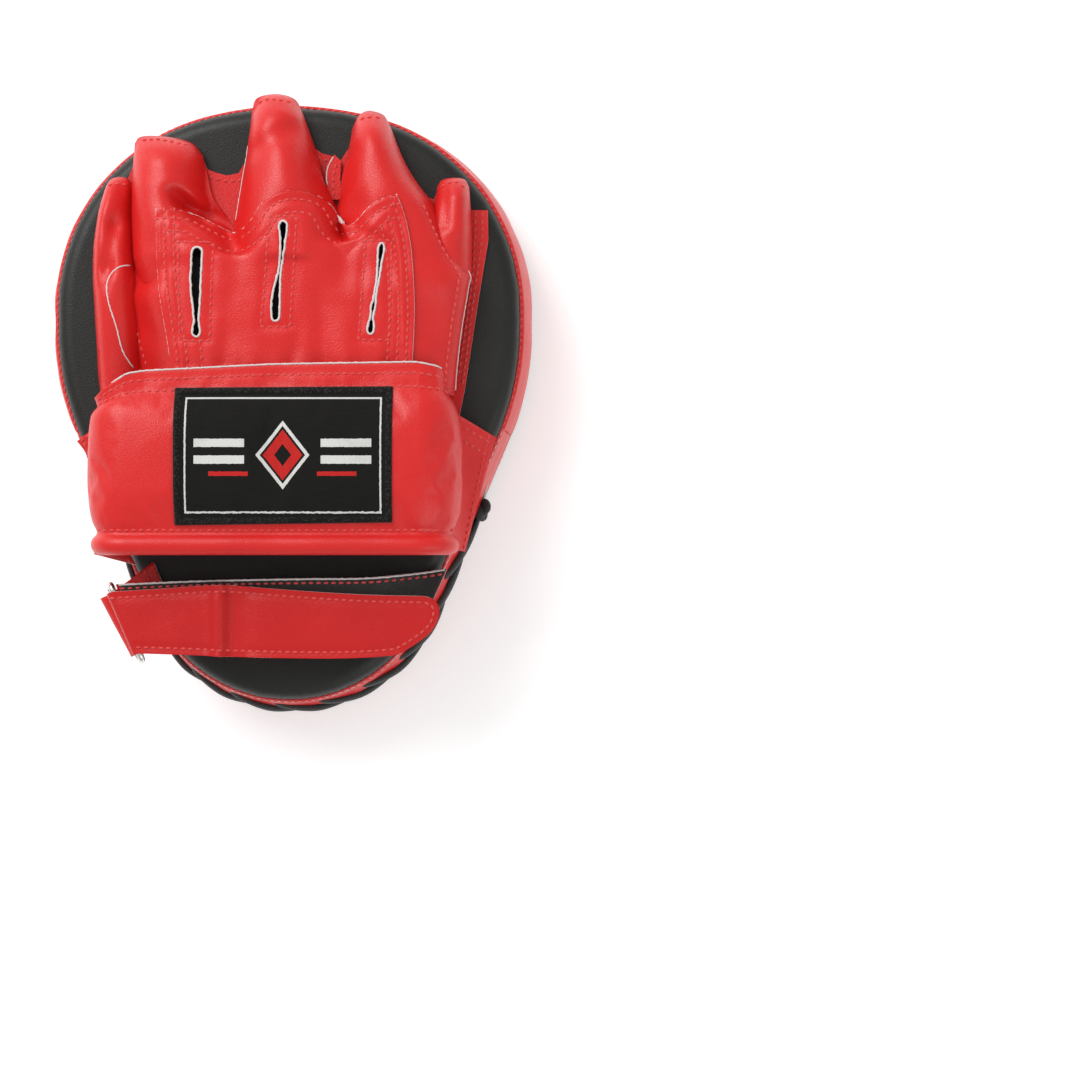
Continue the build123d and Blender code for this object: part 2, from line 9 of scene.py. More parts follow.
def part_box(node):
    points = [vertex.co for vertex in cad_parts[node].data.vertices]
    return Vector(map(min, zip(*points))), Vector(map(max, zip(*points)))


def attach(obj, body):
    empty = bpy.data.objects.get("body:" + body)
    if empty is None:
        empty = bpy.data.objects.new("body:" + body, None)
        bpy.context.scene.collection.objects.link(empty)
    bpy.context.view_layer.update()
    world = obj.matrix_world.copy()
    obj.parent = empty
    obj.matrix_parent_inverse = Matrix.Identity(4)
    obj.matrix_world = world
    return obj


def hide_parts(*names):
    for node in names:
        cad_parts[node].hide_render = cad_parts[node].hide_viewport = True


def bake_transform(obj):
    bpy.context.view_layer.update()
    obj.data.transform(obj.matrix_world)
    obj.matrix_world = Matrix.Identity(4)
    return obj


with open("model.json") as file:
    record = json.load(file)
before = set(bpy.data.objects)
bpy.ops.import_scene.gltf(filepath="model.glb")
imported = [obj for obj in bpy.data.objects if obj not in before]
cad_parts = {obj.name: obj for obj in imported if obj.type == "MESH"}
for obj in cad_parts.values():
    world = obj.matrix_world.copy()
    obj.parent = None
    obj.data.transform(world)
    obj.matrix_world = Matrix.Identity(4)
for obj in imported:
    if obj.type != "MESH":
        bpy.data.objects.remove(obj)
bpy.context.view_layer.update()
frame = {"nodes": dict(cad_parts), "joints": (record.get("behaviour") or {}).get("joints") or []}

# ---------------------------------------------------------------- camera and studio
# The mitt lies on its striking face on a pale table and is looked at from straight above.
# One big soft lamp hangs beyond its fingertips to the left, and a weaker one by the wrist.
GLOVE_MIDDLE = Vector((0, 0, 0.06))
TABLE_REACH = 4.0
TABLE_DROP = 0.0004

scene = bpy.context.scene
scene.view_settings.view_transform = "Standard"

camera_lens = bpy.data.cameras.new("overhead_camera")
camera_lens.lens = 79.0
camera_lens.sensor_width = 36.0
camera_lens.clip_start = 0.05
camera_lens.clip_end = 20.0
overhead_camera = bpy.data.objects.new("overhead_camera", camera_lens)
overhead_camera.location = (0.106, -0.0725, 1.046)
scene.collection.objects.link(overhead_camera)
scene.camera = overhead_camera


def soft_lamp(name, place, size, power):
    """A square lamp that looks at the middle of the glove."""
    lamp = bpy.data.lights.new(name, "AREA")
    lamp.size = size
    lamp.energy = power
    lamp_object = bpy.data.objects.new(name, lamp)
    lamp_object.location = place
    lamp_object.rotation_mode = "QUATERNION"
    lamp_object.rotation_quaternion = (Vector(place) - GLOVE_MIDDLE).to_track_quat("Z", "Y")
    scene.collection.objects.link(lamp_object)


soft_lamp("fingertip_lamp", (-0.75, 0.85, 1.1), 0.9, 18.0)
soft_lamp("wrist_lamp", (0.9, -0.8, 1.0), 0.8, 5.0)

studio = bpy.data.worlds.new("white_studio")
studio.use_nodes = True
studio_light = studio.node_tree.nodes["Background"]
studio_light.inputs["Color"].default_value = (1.0, 1.0, 1.0, 1.0)
studio_light.inputs["Strength"].default_value = 0.53
scene.world = studio


class Wire:
    """A shader socket that takes part in ordinary arithmetic."""

    def __init__(self, finish, socket):
        self.finish = finish
        self.socket = socket

    def math(self, operation, *values):
        return self.finish.add("ShaderNodeMath", {"operation": operation}, dict(enumerate(values)))

    def __add__(self, other):
        return self.math("ADD", self, other)

    def __sub__(self, other):
        return self.math("SUBTRACT", self, other)

    def __rsub__(self, other):
        return self.math("SUBTRACT", other, self)

    def __mul__(self, other):
        return self.math("MULTIPLY", self, other)

    def __truediv__(self, other):
        return self.math("DIVIDE", self, other)

    def __lt__(self, other):
        return self.math("LESS_THAN", self, other)

    def __gt__(self, other):
        return self.math("GREATER_THAN", self, other)

    def __abs__(self):
        return self.math("ABSOLUTE", self)

    __radd__ = __add__
    __rmul__ = __mul__


class Finish:
    """One material: a Principled shader, its constants, and the nodes that feed it."""

    def __init__(self, name, **constants):
        self.material = bpy.data.materials.new(name)
        self.material.use_nodes = True
        self.tree = self.material.node_tree
        self.shader = self.tree.nodes["Principled BSDF"]
        for socket, value in constants.items():
            self.shader.inputs[socket.replace("_", " ")].default_value = value

    def add(self, kind, settings=None, inputs=None, output=0):
        """Adds one node. Settings come first, then the values or links of its sockets."""
        node = self.tree.nodes.new(kind)
        for key, value in (settings or {}).items():
            if key == "stops":
                for place, colour in value[2:]:
                    node.color_ramp.elements.new(place)
                for element, (place, colour) in zip(node.color_ramp.elements, value):
                    element.position = place
                    element.color = (*colour, 1.0)
            else:
                setattr(node, key, value)
        for socket, value in (inputs or {}).items():
            if isinstance(value, Wire):
                self.tree.links.new(value.socket, node.inputs[socket])
            else:
                node.inputs[socket].default_value = value
        return Wire(self, node.outputs[output])

    def feed(self, **wires):
        for socket, wire in wires.items():
            self.tree.links.new(wire.socket, self.shader.inputs[socket.replace("_", " ")])

    def mix(self, share, first, second):
        """One colour where share is 0 and the other where it is 1."""
        settings = {"data_type": "RGBA"}
        return self.add("ShaderNodeMix", settings, {0: share, 6: first, 7: second}, output=2)

    def place(self, flat=False):
        """Where a point is: in the mitt's frame, or on the flat cut piece."""
        return self.add("ShaderNodeTexCoord", {}, {}, output=2 if flat else 3)

    def cloud(self, place, size, detail=3.0, roughness=0.5):
        """Soft random patches of about that size in metres."""
        inputs = {"Vector": place, "Scale": 1 / size, "Detail": detail, "Roughness": roughness}
        return self.add("ShaderNodeTexNoise", {}, inputs)

    def cells(self, place, scale, randomness=1.0):
        """How far a point is from the middle of its cell, with scale cells in a metre."""
        inputs = {"Vector": place, "Scale": scale, "Randomness": randomness}
        return self.add("ShaderNodeTexVoronoi", {"feature": "F1"}, inputs)

    def along(self, place, axis):
        """One coordinate of a place, in millimetres."""
        return self.add("ShaderNodeSeparateXYZ", {}, {0: place}, output=axis) * 1000

    def relief(self, height, depth, strength):
        inputs = {"Height": height, "Distance": depth, "Strength": strength}
        self.feed(Normal=self.add("ShaderNodeBump", {}, inputs))


table_finish = Finish("table_paper", Roughness=0.9, Emission_Strength=0.33)
table_tone = table_finish.cloud(table_finish.place(), 0.25)
paper = table_finish.mix(table_tone, (0.93, 0.93, 0.93, 1), (0.96, 0.96, 0.96, 1))
table_finish.feed(Base_Color=paper, Emission_Color=paper)
table_mesh = bpy.data.meshes.new("table")
table_corners = [
    (TABLE_REACH * x, TABLE_REACH * y, 0) for x, y in ((-1, -1), (1, -1), (1, 1), (-1, 1))
]
table_mesh.from_pydata(table_corners, [], [(0, 1, 2, 3)])
table_mesh.materials.append(table_finish.material)
table = bpy.data.objects.new("table", table_mesh)
table.location.z = -TABLE_DROP
scene.collection.objects.link(table)

# ---------------------------------------------------------------- front cover
# The striking face: black coated leather drawn over the foam with a rolled rim.
# The target and the bars above it are screen-printed in white ink.
CROWN_RADIUS = 140.0
SHOULDER_RADIUS = 88.0
FLANK_LENGTH = 8.0
CHEEK_RADIUS = 120.0
TAPER_ANGLE = 22.8
RIM_ROUNDING = 6.5
RIM_PUCKER = 0.25
TARGET_RADIUS = 29.5
TARGET_RING = (33.0, 36.8)
BAR_CENTER_Y = 67.0
BAR_COUNT = 5
BAR_PITCH = 21.0
BAR_WIDTH = 13.0
BAR_HEIGHT = 39.0
BAR_SLANT = 0.35
FACE_MIDDLE = np.array([0.0, -8.0])
FACE_SHARES = (0.04, 0.15, 0.3, 0.45, 0.6, 0.72, 0.82, 0.9, 0.96, 0.99)
RIM_ANGLES = (0, 15, 30, 45, 60, 75, 90)
SEAM_TUCK = 0.4
COVER_THICKNESS = 1.3
EDGE_PLACES = 480
GRAIN_SIZE = 0.0011


def box_of(node):
    """The lowest and highest corner of a CAD node in millimetres."""
    low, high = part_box(node)
    return low * 1000, high * 1000


edge_low, edge_high = box_of("front_binding")
front_seam_z = (edge_low.z + edge_high.z) / 2
back_low, back_high = box_of("back_binding")
back_seam_z = (back_low.z + back_high.z) / 2
pad_top_z = box_of("back_cover")[1].z
binding_width = edge_high.x - box_of("front_cover")[1].x
back_inset = edge_high.x - back_high.x

taper = math.radians(TAPER_ANGLE)
crown_y = edge_high.y - CROWN_RADIUS
shoulder_x = edge_high.x - SHOULDER_RADIUS
shoulder_y = crown_y + math.sqrt((CROWN_RADIUS - SHOULDER_RADIUS) ** 2 - shoulder_x**2)
cheek_x = edge_high.x - CHEEK_RADIUS
cheek_y = shoulder_y - FLANK_LENGTH
edge_distance = CHEEK_RADIUS + math.cos(taper) * cheek_x - math.sin(taper) * cheek_y
wrist_center_y = (edge_distance + edge_low.y) / (1 - math.sin(taper))
crown_spread = math.degrees(math.atan2(shoulder_x, shoulder_y - crown_y))
edge_arcs = [
    ((0, crown_y), CROWN_RADIUS, 90, 90 - crown_spread),
    ((shoulder_x, shoulder_y), SHOULDER_RADIUS, 90 - crown_spread, 0),
    ((cheek_x, cheek_y), CHEEK_RADIUS, 0, -TAPER_ANGLE),
    ((0, wrist_center_y), wrist_center_y - edge_low.y, -TAPER_ANGLE, -90),
]
half_places, half_outward = [], []
for center, radius, start, end in edge_arcs:
    for angle in np.radians(np.linspace(start, end, 40)):
        outward = np.array([math.cos(angle), math.sin(angle)])
        half_places.append(np.array(center) + radius * outward)
        half_outward.append(outward)
mirror = np.array([-1.0, 1.0])
edge_places = np.vstack([half_places, np.array(half_places)[::-1] * mirror])
edge_outward = np.vstack([half_outward, np.array(half_outward)[::-1] * mirror])
edge_run = np.append(0, np.cumsum(np.linalg.norm(np.diff(edge_places, axis=0), axis=1)))
edge_length = edge_run[-1]


def edge_at(run, inset=0.0):
    """Places run millimetres clockwise from the tip round the pad's edge, moved inward."""
    place = np.stack([np.interp(run, edge_run, edge_places[:, k]) for k in (0, 1)], -1)
    outward = np.stack([np.interp(run, edge_run, edge_outward[:, k]) for k in (0, 1)], -1)
    outward /= np.linalg.norm(outward, axis=-1, keepdims=True)
    return place - outward * np.asarray(inset)[..., None], outward


def wall_inset(z):
    """How far the wall stands inside the pad's edge at height z."""
    share = (z - front_seam_z) / (back_seam_z - front_seam_z)
    return binding_width + back_inset * share


def make_piece(name, points, faces, *finishes, face_finish=None):
    """A smooth mesh from points in millimetres, in the mitt's frame."""
    mesh = bpy.data.meshes.new(name)
    mesh.from_pydata((np.asarray(points, float) / 1000).tolist(), [], faces)
    for finish in finishes:
        mesh.materials.append(finish.material)
    mesh.polygons.foreach_set("use_smooth", [True] * len(mesh.polygons))
    if face_finish is not None:
        mesh.polygons.foreach_set("material_index", face_finish)
    mesh.update()
    piece = bpy.data.objects.new(name, mesh)
    scene.collection.objects.link(piece)
    return piece


def grid_faces(rows, columns, wrap_rows=False, wrap_columns=False):
    """Quads over a grid of points, joined round where it wraps."""
    faces = []
    for i in range(rows if wrap_rows else rows - 1):
        for j in range(columns if wrap_columns else columns - 1):
            a, b = i * columns, (i + 1) % rows * columns
            c = (j + 1) % columns
            faces.append((a + j, a + c, b + c, b + j))
    return faces


def ripple(x, y, size, seed=0.0):
    """Smooth random height between -1 and 1 that changes over about that many millimetres."""
    return np.vectorize(lambda a, b: noise.noise(Vector((a / size, b / size, seed))))(x, y)


def coated_leather(name, colour, shade, gloss, shine=0.42, grain_depth=0.00012, flat=False):
    """Vinyl-coated leather: pebble grain, a cloudy tone, and a slightly uneven gloss."""
    finish = Finish(name, Specular_IOR_Level=shine, Coat_Weight=0.25 * shine, Coat_Roughness=0.28)
    place = finish.place(flat)
    pebble = finish.add(
        "ShaderNodeTexVoronoi",
        {"feature": "DISTANCE_TO_EDGE"},
        {"Vector": place, "Scale": 1 / GRAIN_SIZE, "Randomness": 1.0},
    )
    pebble = pebble.math("MINIMUM", pebble, 0.22) * 4.5
    pores = finish.cloud(place, 0.0006, 2.0)
    tone = finish.cloud(place, 0.028, 4.0, 0.6)
    wear = finish.cloud(place, 0.006, 3.0)
    finish.feed(
        Base_Color=finish.mix(tone * 0.75 + pebble * 0.25, shade, colour),
        Roughness=(1 - gloss) + (wear - 0.5) * 0.16 - pebble * 0.05,
    )
    finish.relief(pebble * 0.7 + pores * 0.5 + wear * 0.8, grain_depth, 0.55)
    return finish


BLACK_COAT = (0.0125, 0.0127, 0.0100, 1)
BLACK_SHADE = (0.0075, 0.0075, 0.0064, 1)
black_leather, printed_leather = (
    coated_leather(name, BLACK_COAT, BLACK_SHADE, gloss=0.52, shine=0.34)
    for name in ("black_leather", "printed_leather")
)
face_place = printed_leather.place()
face_x, face_y, face_z = (printed_leather.along(face_place, axis) for axis in range(3))
from_center = face_x * face_x + face_y * face_y
from_center = from_center.math("SQRT", from_center)
ring_ink = (from_center > TARGET_RING[0]) * (from_center < TARGET_RING[1])
bar_y = face_y - BAR_CENTER_Y
slanted_x = face_x + bar_y * BAR_SLANT + BAR_COUNT * BAR_PITCH / 2
bar_phase = slanted_x.math("MODULO", slanted_x, BAR_PITCH)
bar_ink = (bar_phase < BAR_WIDTH) * (slanted_x > 0) * (slanted_x < BAR_COUNT * BAR_PITCH)
bar_ink = bar_ink * (abs(bar_y) < BAR_HEIGHT / 2)
ink = ((from_center < TARGET_RADIUS) + ring_ink + bar_ink) * (face_z < 2.0)
ink_gaps = printed_leather.cloud(face_place, 0.0012, 2.0)
ink = ink * (ink_gaps < 0.72)
colour_link = printed_leather.shader.inputs["Base Color"].links[0]
leather_colour = Wire(printed_leather, colour_link.from_socket)
ink_colour = printed_leather.mix(ink_gaps, (0.80, 0.82, 0.80, 1), (0.70, 0.72, 0.70, 1))
printed_leather.feed(Base_Color=printed_leather.mix(ink, leather_colour, ink_colour))


def at_height(plan, z):
    """Places in plan, lifted to height z, which may vary."""
    return np.column_stack([plan, np.broadcast_to(z, len(plan))])


def pad_cover(name, face_z, seam_z, finish):
    """A cover from the middle of its face, over its rolled rim, to its seam."""
    runs = np.linspace(0, edge_length, EDGE_PLACES, endpoint=False)
    side = 1 if seam_z > face_z else -1
    rim_inset = wall_inset(seam_z)
    face_edge = edge_at(runs, rim_inset + RIM_ROUNDING)[0]
    rings = [
        at_height(FACE_MIDDLE + share * (face_edge - FACE_MIDDLE), face_z) for share in FACE_SHARES
    ]
    pucker = ripple(runs, runs * 0, 7.0, seam_z)
    for angle in np.radians(RIM_ANGLES):
        inset = rim_inset + RIM_ROUNDING * (1 - math.sin(angle))
        gather = RIM_PUCKER * pucker * math.sin(angle) ** 2
        z = face_z + side * RIM_ROUNDING * (1 - math.cos(angle))
        rings.append(at_height(edge_at(runs, inset + gather)[0], z))
    rings.append(at_height(edge_at(runs, rim_inset + SEAM_TUCK)[0], seam_z))
    faces = grid_faces(len(rings), EDGE_PLACES, wrap_columns=True)
    faces.append(tuple(range(EDGE_PLACES))[::-1])
    cover = make_piece(name, np.vstack(rings), faces, finish)
    if cover.data.polygons[-1].normal.z * side > 0:
        cover.data.flip_normals()
    return cover


def thicken(piece, thickness, raw_edge=False):
    """Gives a cut sheet its thickness, inward from its outer face."""
    solidify = piece.modifiers.new("thickness", "SOLIDIFY")
    solidify.thickness = thickness / 1000
    solidify.offset = -1.0
    solidify.use_even_offset = False
    if raw_edge:
        solidify.material_offset_rim = 1
    return settle(piece)


def settle(piece):
    """Makes a piece's modifiers part of its mesh."""
    graph = bpy.context.evaluated_depsgraph_get()
    graph.update()
    settled = bpy.data.meshes.new_from_object(piece.evaluated_get(graph), depsgraph=graph)
    piece.modifiers.clear()
    piece.data = settled
    return piece


def fasten(piece, slot, *nodes):
    """Fixes a piece to the mitt and hides the CAD nodes it stands for. Its slot is not used."""
    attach(piece, "mitt")
    if nodes:
        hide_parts(*nodes)


front_cover = pad_cover("front_cover_skin", 0.0, front_seam_z, printed_leather)
fasten(thicken(front_cover, COVER_THICKNESS), "black_leather", "front_cover")

# ---------------------------------------------------------------- back cover
# The same black leather over the back of the foam, where the glove is sewn on.
back_cover = pad_cover("back_cover_skin", pad_top_z, back_seam_z, black_leather)
fasten(thicken(back_cover, COVER_THICKNESS), "black_leather", "back_cover")

# ---------------------------------------------------------------- side wall
# One long strip of red coated leather round the foam's edge, sewn to both covers. It ends
# on each side where the lacing bands start, and it wavers a little between its seams.
WALL_JOIN_Y = -27.0
WALL_BULGE = 1.1
WALL_WAVER = 0.55
SIDE_FULLNESS = 1.5
SIDE_FROM_X, SIDE_TO_X = 60, 96
WALL_THICKNESS = 1.2
WALL_PLACES = 420
WALL_ROWS = 15

RED_COAT = (0.72, 0.0190, 0.0175, 1)
RED_SHADE = (0.60, 0.0120, 0.0110, 1)
red_leather = coated_leather("red_leather", RED_COAT, RED_SHADE, gloss=0.60, shine=0.36)
raw_backing = Finish("raw_backing", Roughness=0.95)
fuzz = raw_backing.cloud(raw_backing.place(), 0.0007, 4.0, 0.7)
raw_backing.feed(Base_Color=raw_backing.mix(fuzz, (0.58, 0.50, 0.49, 1), (0.86, 0.84, 0.82, 1)))
raw_backing.relief(fuzz, 0.0004, 0.8)

dense_run = np.linspace(0, edge_length, 4000)
dense_y = edge_at(dense_run)[0][:, 1]


def runs_beyond(y, count):
    """Evenly spaced runs along the part of the pad's edge on the wrist side of y."""
    beyond = dense_run[dense_y < y]
    return np.linspace(beyond[0], beyond[-1], count)


join_runs = runs_beyond(WALL_JOIN_Y, 2)
wall_runs = np.linspace(join_runs[1], join_runs[0] + edge_length, WALL_PLACES)
wall_heights = np.linspace(front_seam_z, back_seam_z, WALL_ROWS)
across = (wall_heights - front_seam_z) / (back_seam_z - front_seam_z)
arch = np.sin(np.pi * across)[:, None]
side_x = np.abs(edge_at(wall_runs % edge_length)[0][:, 0])
flank = np.clip((side_x - SIDE_FROM_X) / (SIDE_TO_X - SIDE_FROM_X), 0, 1)
flank *= np.sin(np.linspace(0, np.pi, WALL_PLACES)) ** 0.35
spread_run, spread_z = np.meshgrid(wall_runs, wall_heights)
push = WALL_BULGE * arch + SIDE_FULLNESS * arch**0.7 * flank
push += WALL_WAVER * ripple(spread_run, spread_z * 0.5, 13.0) * arch**0.5
wall_points = np.vstack([
    at_height(edge_at(wall_runs % edge_length, wall_inset(z) - row)[0], z)
    for z, row in zip(wall_heights, push)
])
wall_faces = grid_faces(WALL_ROWS, WALL_PLACES)
side_wall = make_piece("side_wall_strip", wall_points, wall_faces, red_leather, raw_backing)
fasten(thicken(side_wall, WALL_THICKNESS), "red_leather", "side_wall")

# ---------------------------------------------------------------- lacing bands
# Two bands of the same red leather at the wrist end, one from each cover, that part to
# leave a gap. Each has a row of punched holes with a pale cut edge.
BAND_FREE_EDGE = 4.5
LACE_START_Y = -60.0
PARTING_Y = (-47.0, -56.0)
LACE_PITCH = 21.0
HOLE_FROM_SEAM = 8.5
HOLE_RADIUS = 2.1
HOLE_RIM = 0.45
HOLE_SIDES = 18
BAND_ROWS = 8
BAND_CURL = 0.9
BAND_WAVER = 0.5

band_middle_z = (front_seam_z + back_seam_z) / 2
lace_ends = runs_beyond(LACE_START_Y, 2)
lace_run = lace_ends[1] - lace_ends[0]
lace_steps = round(lace_run / LACE_PITCH)
lace_spacing = lace_run / (lace_steps + 0.5)
front_hole_z = front_seam_z + HOLE_FROM_SEAM
back_hole_z = back_seam_z - HOLE_FROM_SEAM


def wall_spot(run, z, lift=0.0):
    """One point on the wall and its outward direction, in millimetres."""
    place, outward = edge_at(run, wall_inset(z) - lift)
    return np.array([*place, z]), np.array([*outward, 0.0])


def ease(share):
    """A soft start and a soft stop between 0 and 1."""
    share = np.clip(share, 0, 1)
    return share * share * (3 - 2 * share)


def tube_round(name, path, radius, finish, closed=False, sides=8, flat=1.0, normals=None):
    """A tube along a path in millimetres. Radius may vary, and flat thins it one way."""
    path = np.asarray(path, float)
    count = len(path)
    radius = np.broadcast_to(radius, (count,))
    ahead = np.roll(path, -1, 0) - np.roll(path, 1, 0)
    if not closed:
        ahead[0], ahead[-1] = path[1] - path[0], path[-1] - path[-2]
    ahead /= np.linalg.norm(ahead, axis=1, keepdims=True)
    up = np.array([[0.0, 0.0, 1.0]] * count) if normals is None else np.asarray(normals, float)
    side = np.cross(ahead, up)
    side /= np.maximum(np.linalg.norm(side, axis=1, keepdims=True), 1e-6)
    up = np.cross(side, ahead)
    points = []
    for k in range(count):
        for turn in np.linspace(0, 2 * np.pi, sides, endpoint=False):
            step = math.cos(turn) * side[k] + flat * math.sin(turn) * up[k]
            points.append(path[k] + radius[k] * step)
    faces = [face[::-1] for face in grid_faces(count, sides, closed, True)]
    if not closed:
        faces.append(tuple(range(sides)))
        faces.append(tuple(range((count - 1) * sides, count * sides))[::-1])
    return make_piece(name, points, faces, finish)


def join(name, pieces):
    """Several pieces as one mesh."""
    bpy.ops.object.select_all(action="DESELECT")
    for piece in pieces:
        piece.select_set(True)
    bpy.context.view_layer.objects.active = pieces[0]
    bpy.ops.object.join()
    pieces[0].name = name
    return pieces[0]


def cut_away(piece, cutters):
    """Punches closed shapes out of a piece, then removes them."""
    cutter = join("punch", cutters) if len(cutters) > 1 else cutters[0]
    punch = piece.modifiers.new("punch", "BOOLEAN")
    punch.operation = "DIFFERENCE"
    punch.solver = "EXACT"
    punch.object = cutter
    settle(piece)
    bpy.data.objects.remove(cutter)


band_runs = runs_beyond(WALL_JOIN_Y + 0.3, 300)
band_y = edge_at(band_runs)[0][:, 1]
parting = ease((PARTING_Y[0] - band_y) / (PARTING_Y[0] - PARTING_Y[1]))


def lacing_band(name, seam_z, hole_z, first_hole, cad_node):
    side = 1 if seam_z < band_middle_z else -1
    edge_z = band_middle_z - 0.25 * side - side * BAND_FREE_EDGE * parting
    rows = []
    for share in np.linspace(0, 1, BAND_ROWS):
        z = seam_z + share * (edge_z - seam_z)
        curl = BAND_CURL * parting * share**4
        waver = BAND_WAVER * ripple(band_runs, z, 11.0, seam_z) * np.sin(np.pi * min(share, 0.5))
        inset = wall_inset(z) - WALL_BULGE * 0.7 * share - curl - waver
        rows.append(at_height(edge_at(band_runs, inset)[0], z))
    faces = grid_faces(BAND_ROWS, len(band_runs))
    if side < 0:
        faces = [face[::-1] for face in faces]
    band = make_piece(name, np.vstack(rows), faces, red_leather, raw_backing)
    thicken(band, WALL_THICKNESS, raw_edge=True)
    punches, rims = [], []
    for step in range(lace_steps + 1):
        run = lace_ends[0] + (step + first_hole) * lace_spacing
        center, outward = wall_spot(run, hole_z)
        route = [center - 4 * outward, center + 4 * outward]
        punches.append(tube_round("punch", route, HOLE_RADIUS, raw_backing, sides=16))
        along, up = np.array([-outward[1], outward[0], 0.0]), np.array([0, 0, 1])
        turns = np.linspace(0, 2 * np.pi, HOLE_SIDES, endpoint=False)[:, None]
        ring = center + 0.75 * outward + HOLE_RADIUS * (np.cos(turns) * along + np.sin(turns) * up)
        rims.append(tube_round(
            "rim", ring, HOLE_RIM, raw_backing, closed=True, sides=6, normals=[outward] * HOLE_SIDES
        ))
    cut_away(band, punches)
    fasten(join(name, [band, *rims]), "red_leather", cad_node)


lacing_band("front_lacing_band", front_seam_z, front_hole_z, 0.0, "lacing_band_front")
lacing_band("back_lacing_band", back_seam_z, back_hole_z, 0.5, "lacing_band_back")

# ---------------------------------------------------------------- seam bindings
# Folded red edges, sewn through with red thread, that stand out where each cover meets
# the wall. Every stitch draws the edge in a little, so it looks beaded.
STITCH_PITCH = 3.1
STITCH_LENGTH = 2.4
STITCH_RADIUS = 0.47
STITCH_SINK = 0.1
BINDING_STITCH = (1.9, 0.34)
BEAD_DEPTH = 0.2
BEAD_SWELL = 0.12
BINDING_WAVER = 0.3
BINDING_ROOT = 0.6
BINDING_SHOW = 0.55
BINDING_HALF_HEIGHT = 0.85
BINDING_SECTION = [
    (0.0, -1.0), (0.45, -1.0), (0.85, -0.9), (1.0, -0.55), (0.94, 0.0),
    (1.0, 0.55), (0.85, 0.9), (0.45, 1.0), (0.0, 1.0),
]

red_thread = Finish("red_thread", Roughness=0.62, Specular_IOR_Level=0.35, Sheen_Weight=0.2)
# The thread's colour is mottled between its own dark red and a pale pink. The pale pink patches are
# a painted highlight.
twist_and_highlight_mottle = red_thread.cloud(red_thread.place(), 0.0012, 2.0)
thread_red_and_painted_highlight = red_thread.mix(twist_and_highlight_mottle, (0.54, 0.013, 0.015, 1), (0.84, 0.115, 0.105, 1))
red_thread.feed(Base_Color=thread_red_and_painted_highlight)
red_thread.relief(twist_and_highlight_mottle, 0.0003, 0.5)


def sew(name, spots, length=STITCH_LENGTH, radius=STITCH_RADIUS):
    """Stitches as small arched capsules. Each spot is (place, along, outward)."""
    points, faces = [], []
    rings, sides = 5, 6
    for place, along, outward in spots:
        along = along / np.linalg.norm(along)
        across = np.cross(outward, along)
        across /= np.linalg.norm(across)
        up = np.cross(along, across)
        start = len(points)
        for k in range(rings):
            share = k / (rings - 1) * 2 - 1
            girth = radius * math.sqrt(max(1 - share**4, 0.12))
            rise = radius * (0.55 - 1.1 * share * share)
            center = place + along * share * length / 2 + up * rise
            for turn in np.linspace(0, 2 * np.pi, sides, endpoint=False):
                points.append(center + girth * (math.cos(turn) * across + math.sin(turn) * up))
        faces += [tuple(start + i for i in face) for face in grid_faces(rings, sides, False, True)]
        faces.append(tuple(start + i for i in range(sides))[::-1])
        faces.append(tuple(start + (rings - 1) * sides + i for i in range(sides)))
    return make_piece(name, points, faces, red_thread)


def seam_binding(name, seam_z, cad_node):
    beads = round(edge_length / STITCH_PITCH)
    bead_length = edge_length / beads
    runs = np.linspace(0, edge_length, beads * 4, endpoint=False)
    swell = np.cos(2 * np.pi * runs / bead_length)
    waver = BINDING_WAVER * ripple(runs, runs * 0, 16.0, seam_z)
    root = wall_inset(seam_z) + BINDING_ROOT
    reach = BINDING_SHOW * binding_width + 0.5
    rings = []
    for out, up in BINDING_SECTION:
        inset = root - reach * out + (BEAD_DEPTH * swell + waver) * out
        height = BINDING_HALF_HEIGHT * up * (1 - BEAD_SWELL * swell)
        rings.append(at_height(edge_at(runs, inset)[0], seam_z + height))
    faces = grid_faces(len(BINDING_SECTION), len(runs), wrap_columns=True)
    binding = make_piece(name, np.vstack(rings), faces, red_leather)
    stitches = []
    for side in (1, -1):
        spots = []
        for run in np.arange(0, edge_length - 1, bead_length) + bead_length / 2:
            place, outward = edge_at(run, root - reach * 0.55)
            along = np.array([outward[1], -outward[0], 0.0])
            spot = np.array([*place, seam_z + side * BINDING_HALF_HEIGHT * 1.05])
            spots.append((spot, along, np.array([0.0, 0.0, side])))
        stitches.append(sew(name + "_stitches", spots, *BINDING_STITCH))
    fasten(binding, "red_binding", cad_node)
    fasten(join(name + "_stitches", stitches), "red_binding")


seam_binding("front_seam_binding", front_seam_z, "front_binding")
seam_binding("back_seam_binding", back_seam_z, "back_binding")

# ---------------------------------------------------------------- lace
# A flat woven black lace that winds through both rows of holes like a spring, and bows
# out between them. It is knotted where it starts on the little-finger side.
LACE_HALF_WIDTH = 3.7
LACE_THICKNESS_SHARE = 0.55
LACE_STAND_OFF = 1.9
LACE_BOW = 1.5
LACE_SLANT = 1.0
LACE_INSIDE = 3.0
KNOT_SIZE = 3.4
KNOT_RADIUS = 1.9

black_lace = Finish("black_lace", Roughness=0.75, Sheen_Weight=0.15)
lace_weave = black_lace.cells(black_lace.place(), 1100.0, 0.25)
lace_black = black_lace.mix(lace_weave, (0.028, 0.028, 0.027, 1), (0.006, 0.006, 0.006, 1))
black_lace.feed(Base_Color=lace_black)
black_lace.relief(1 - lace_weave, 0.0004, 0.8)


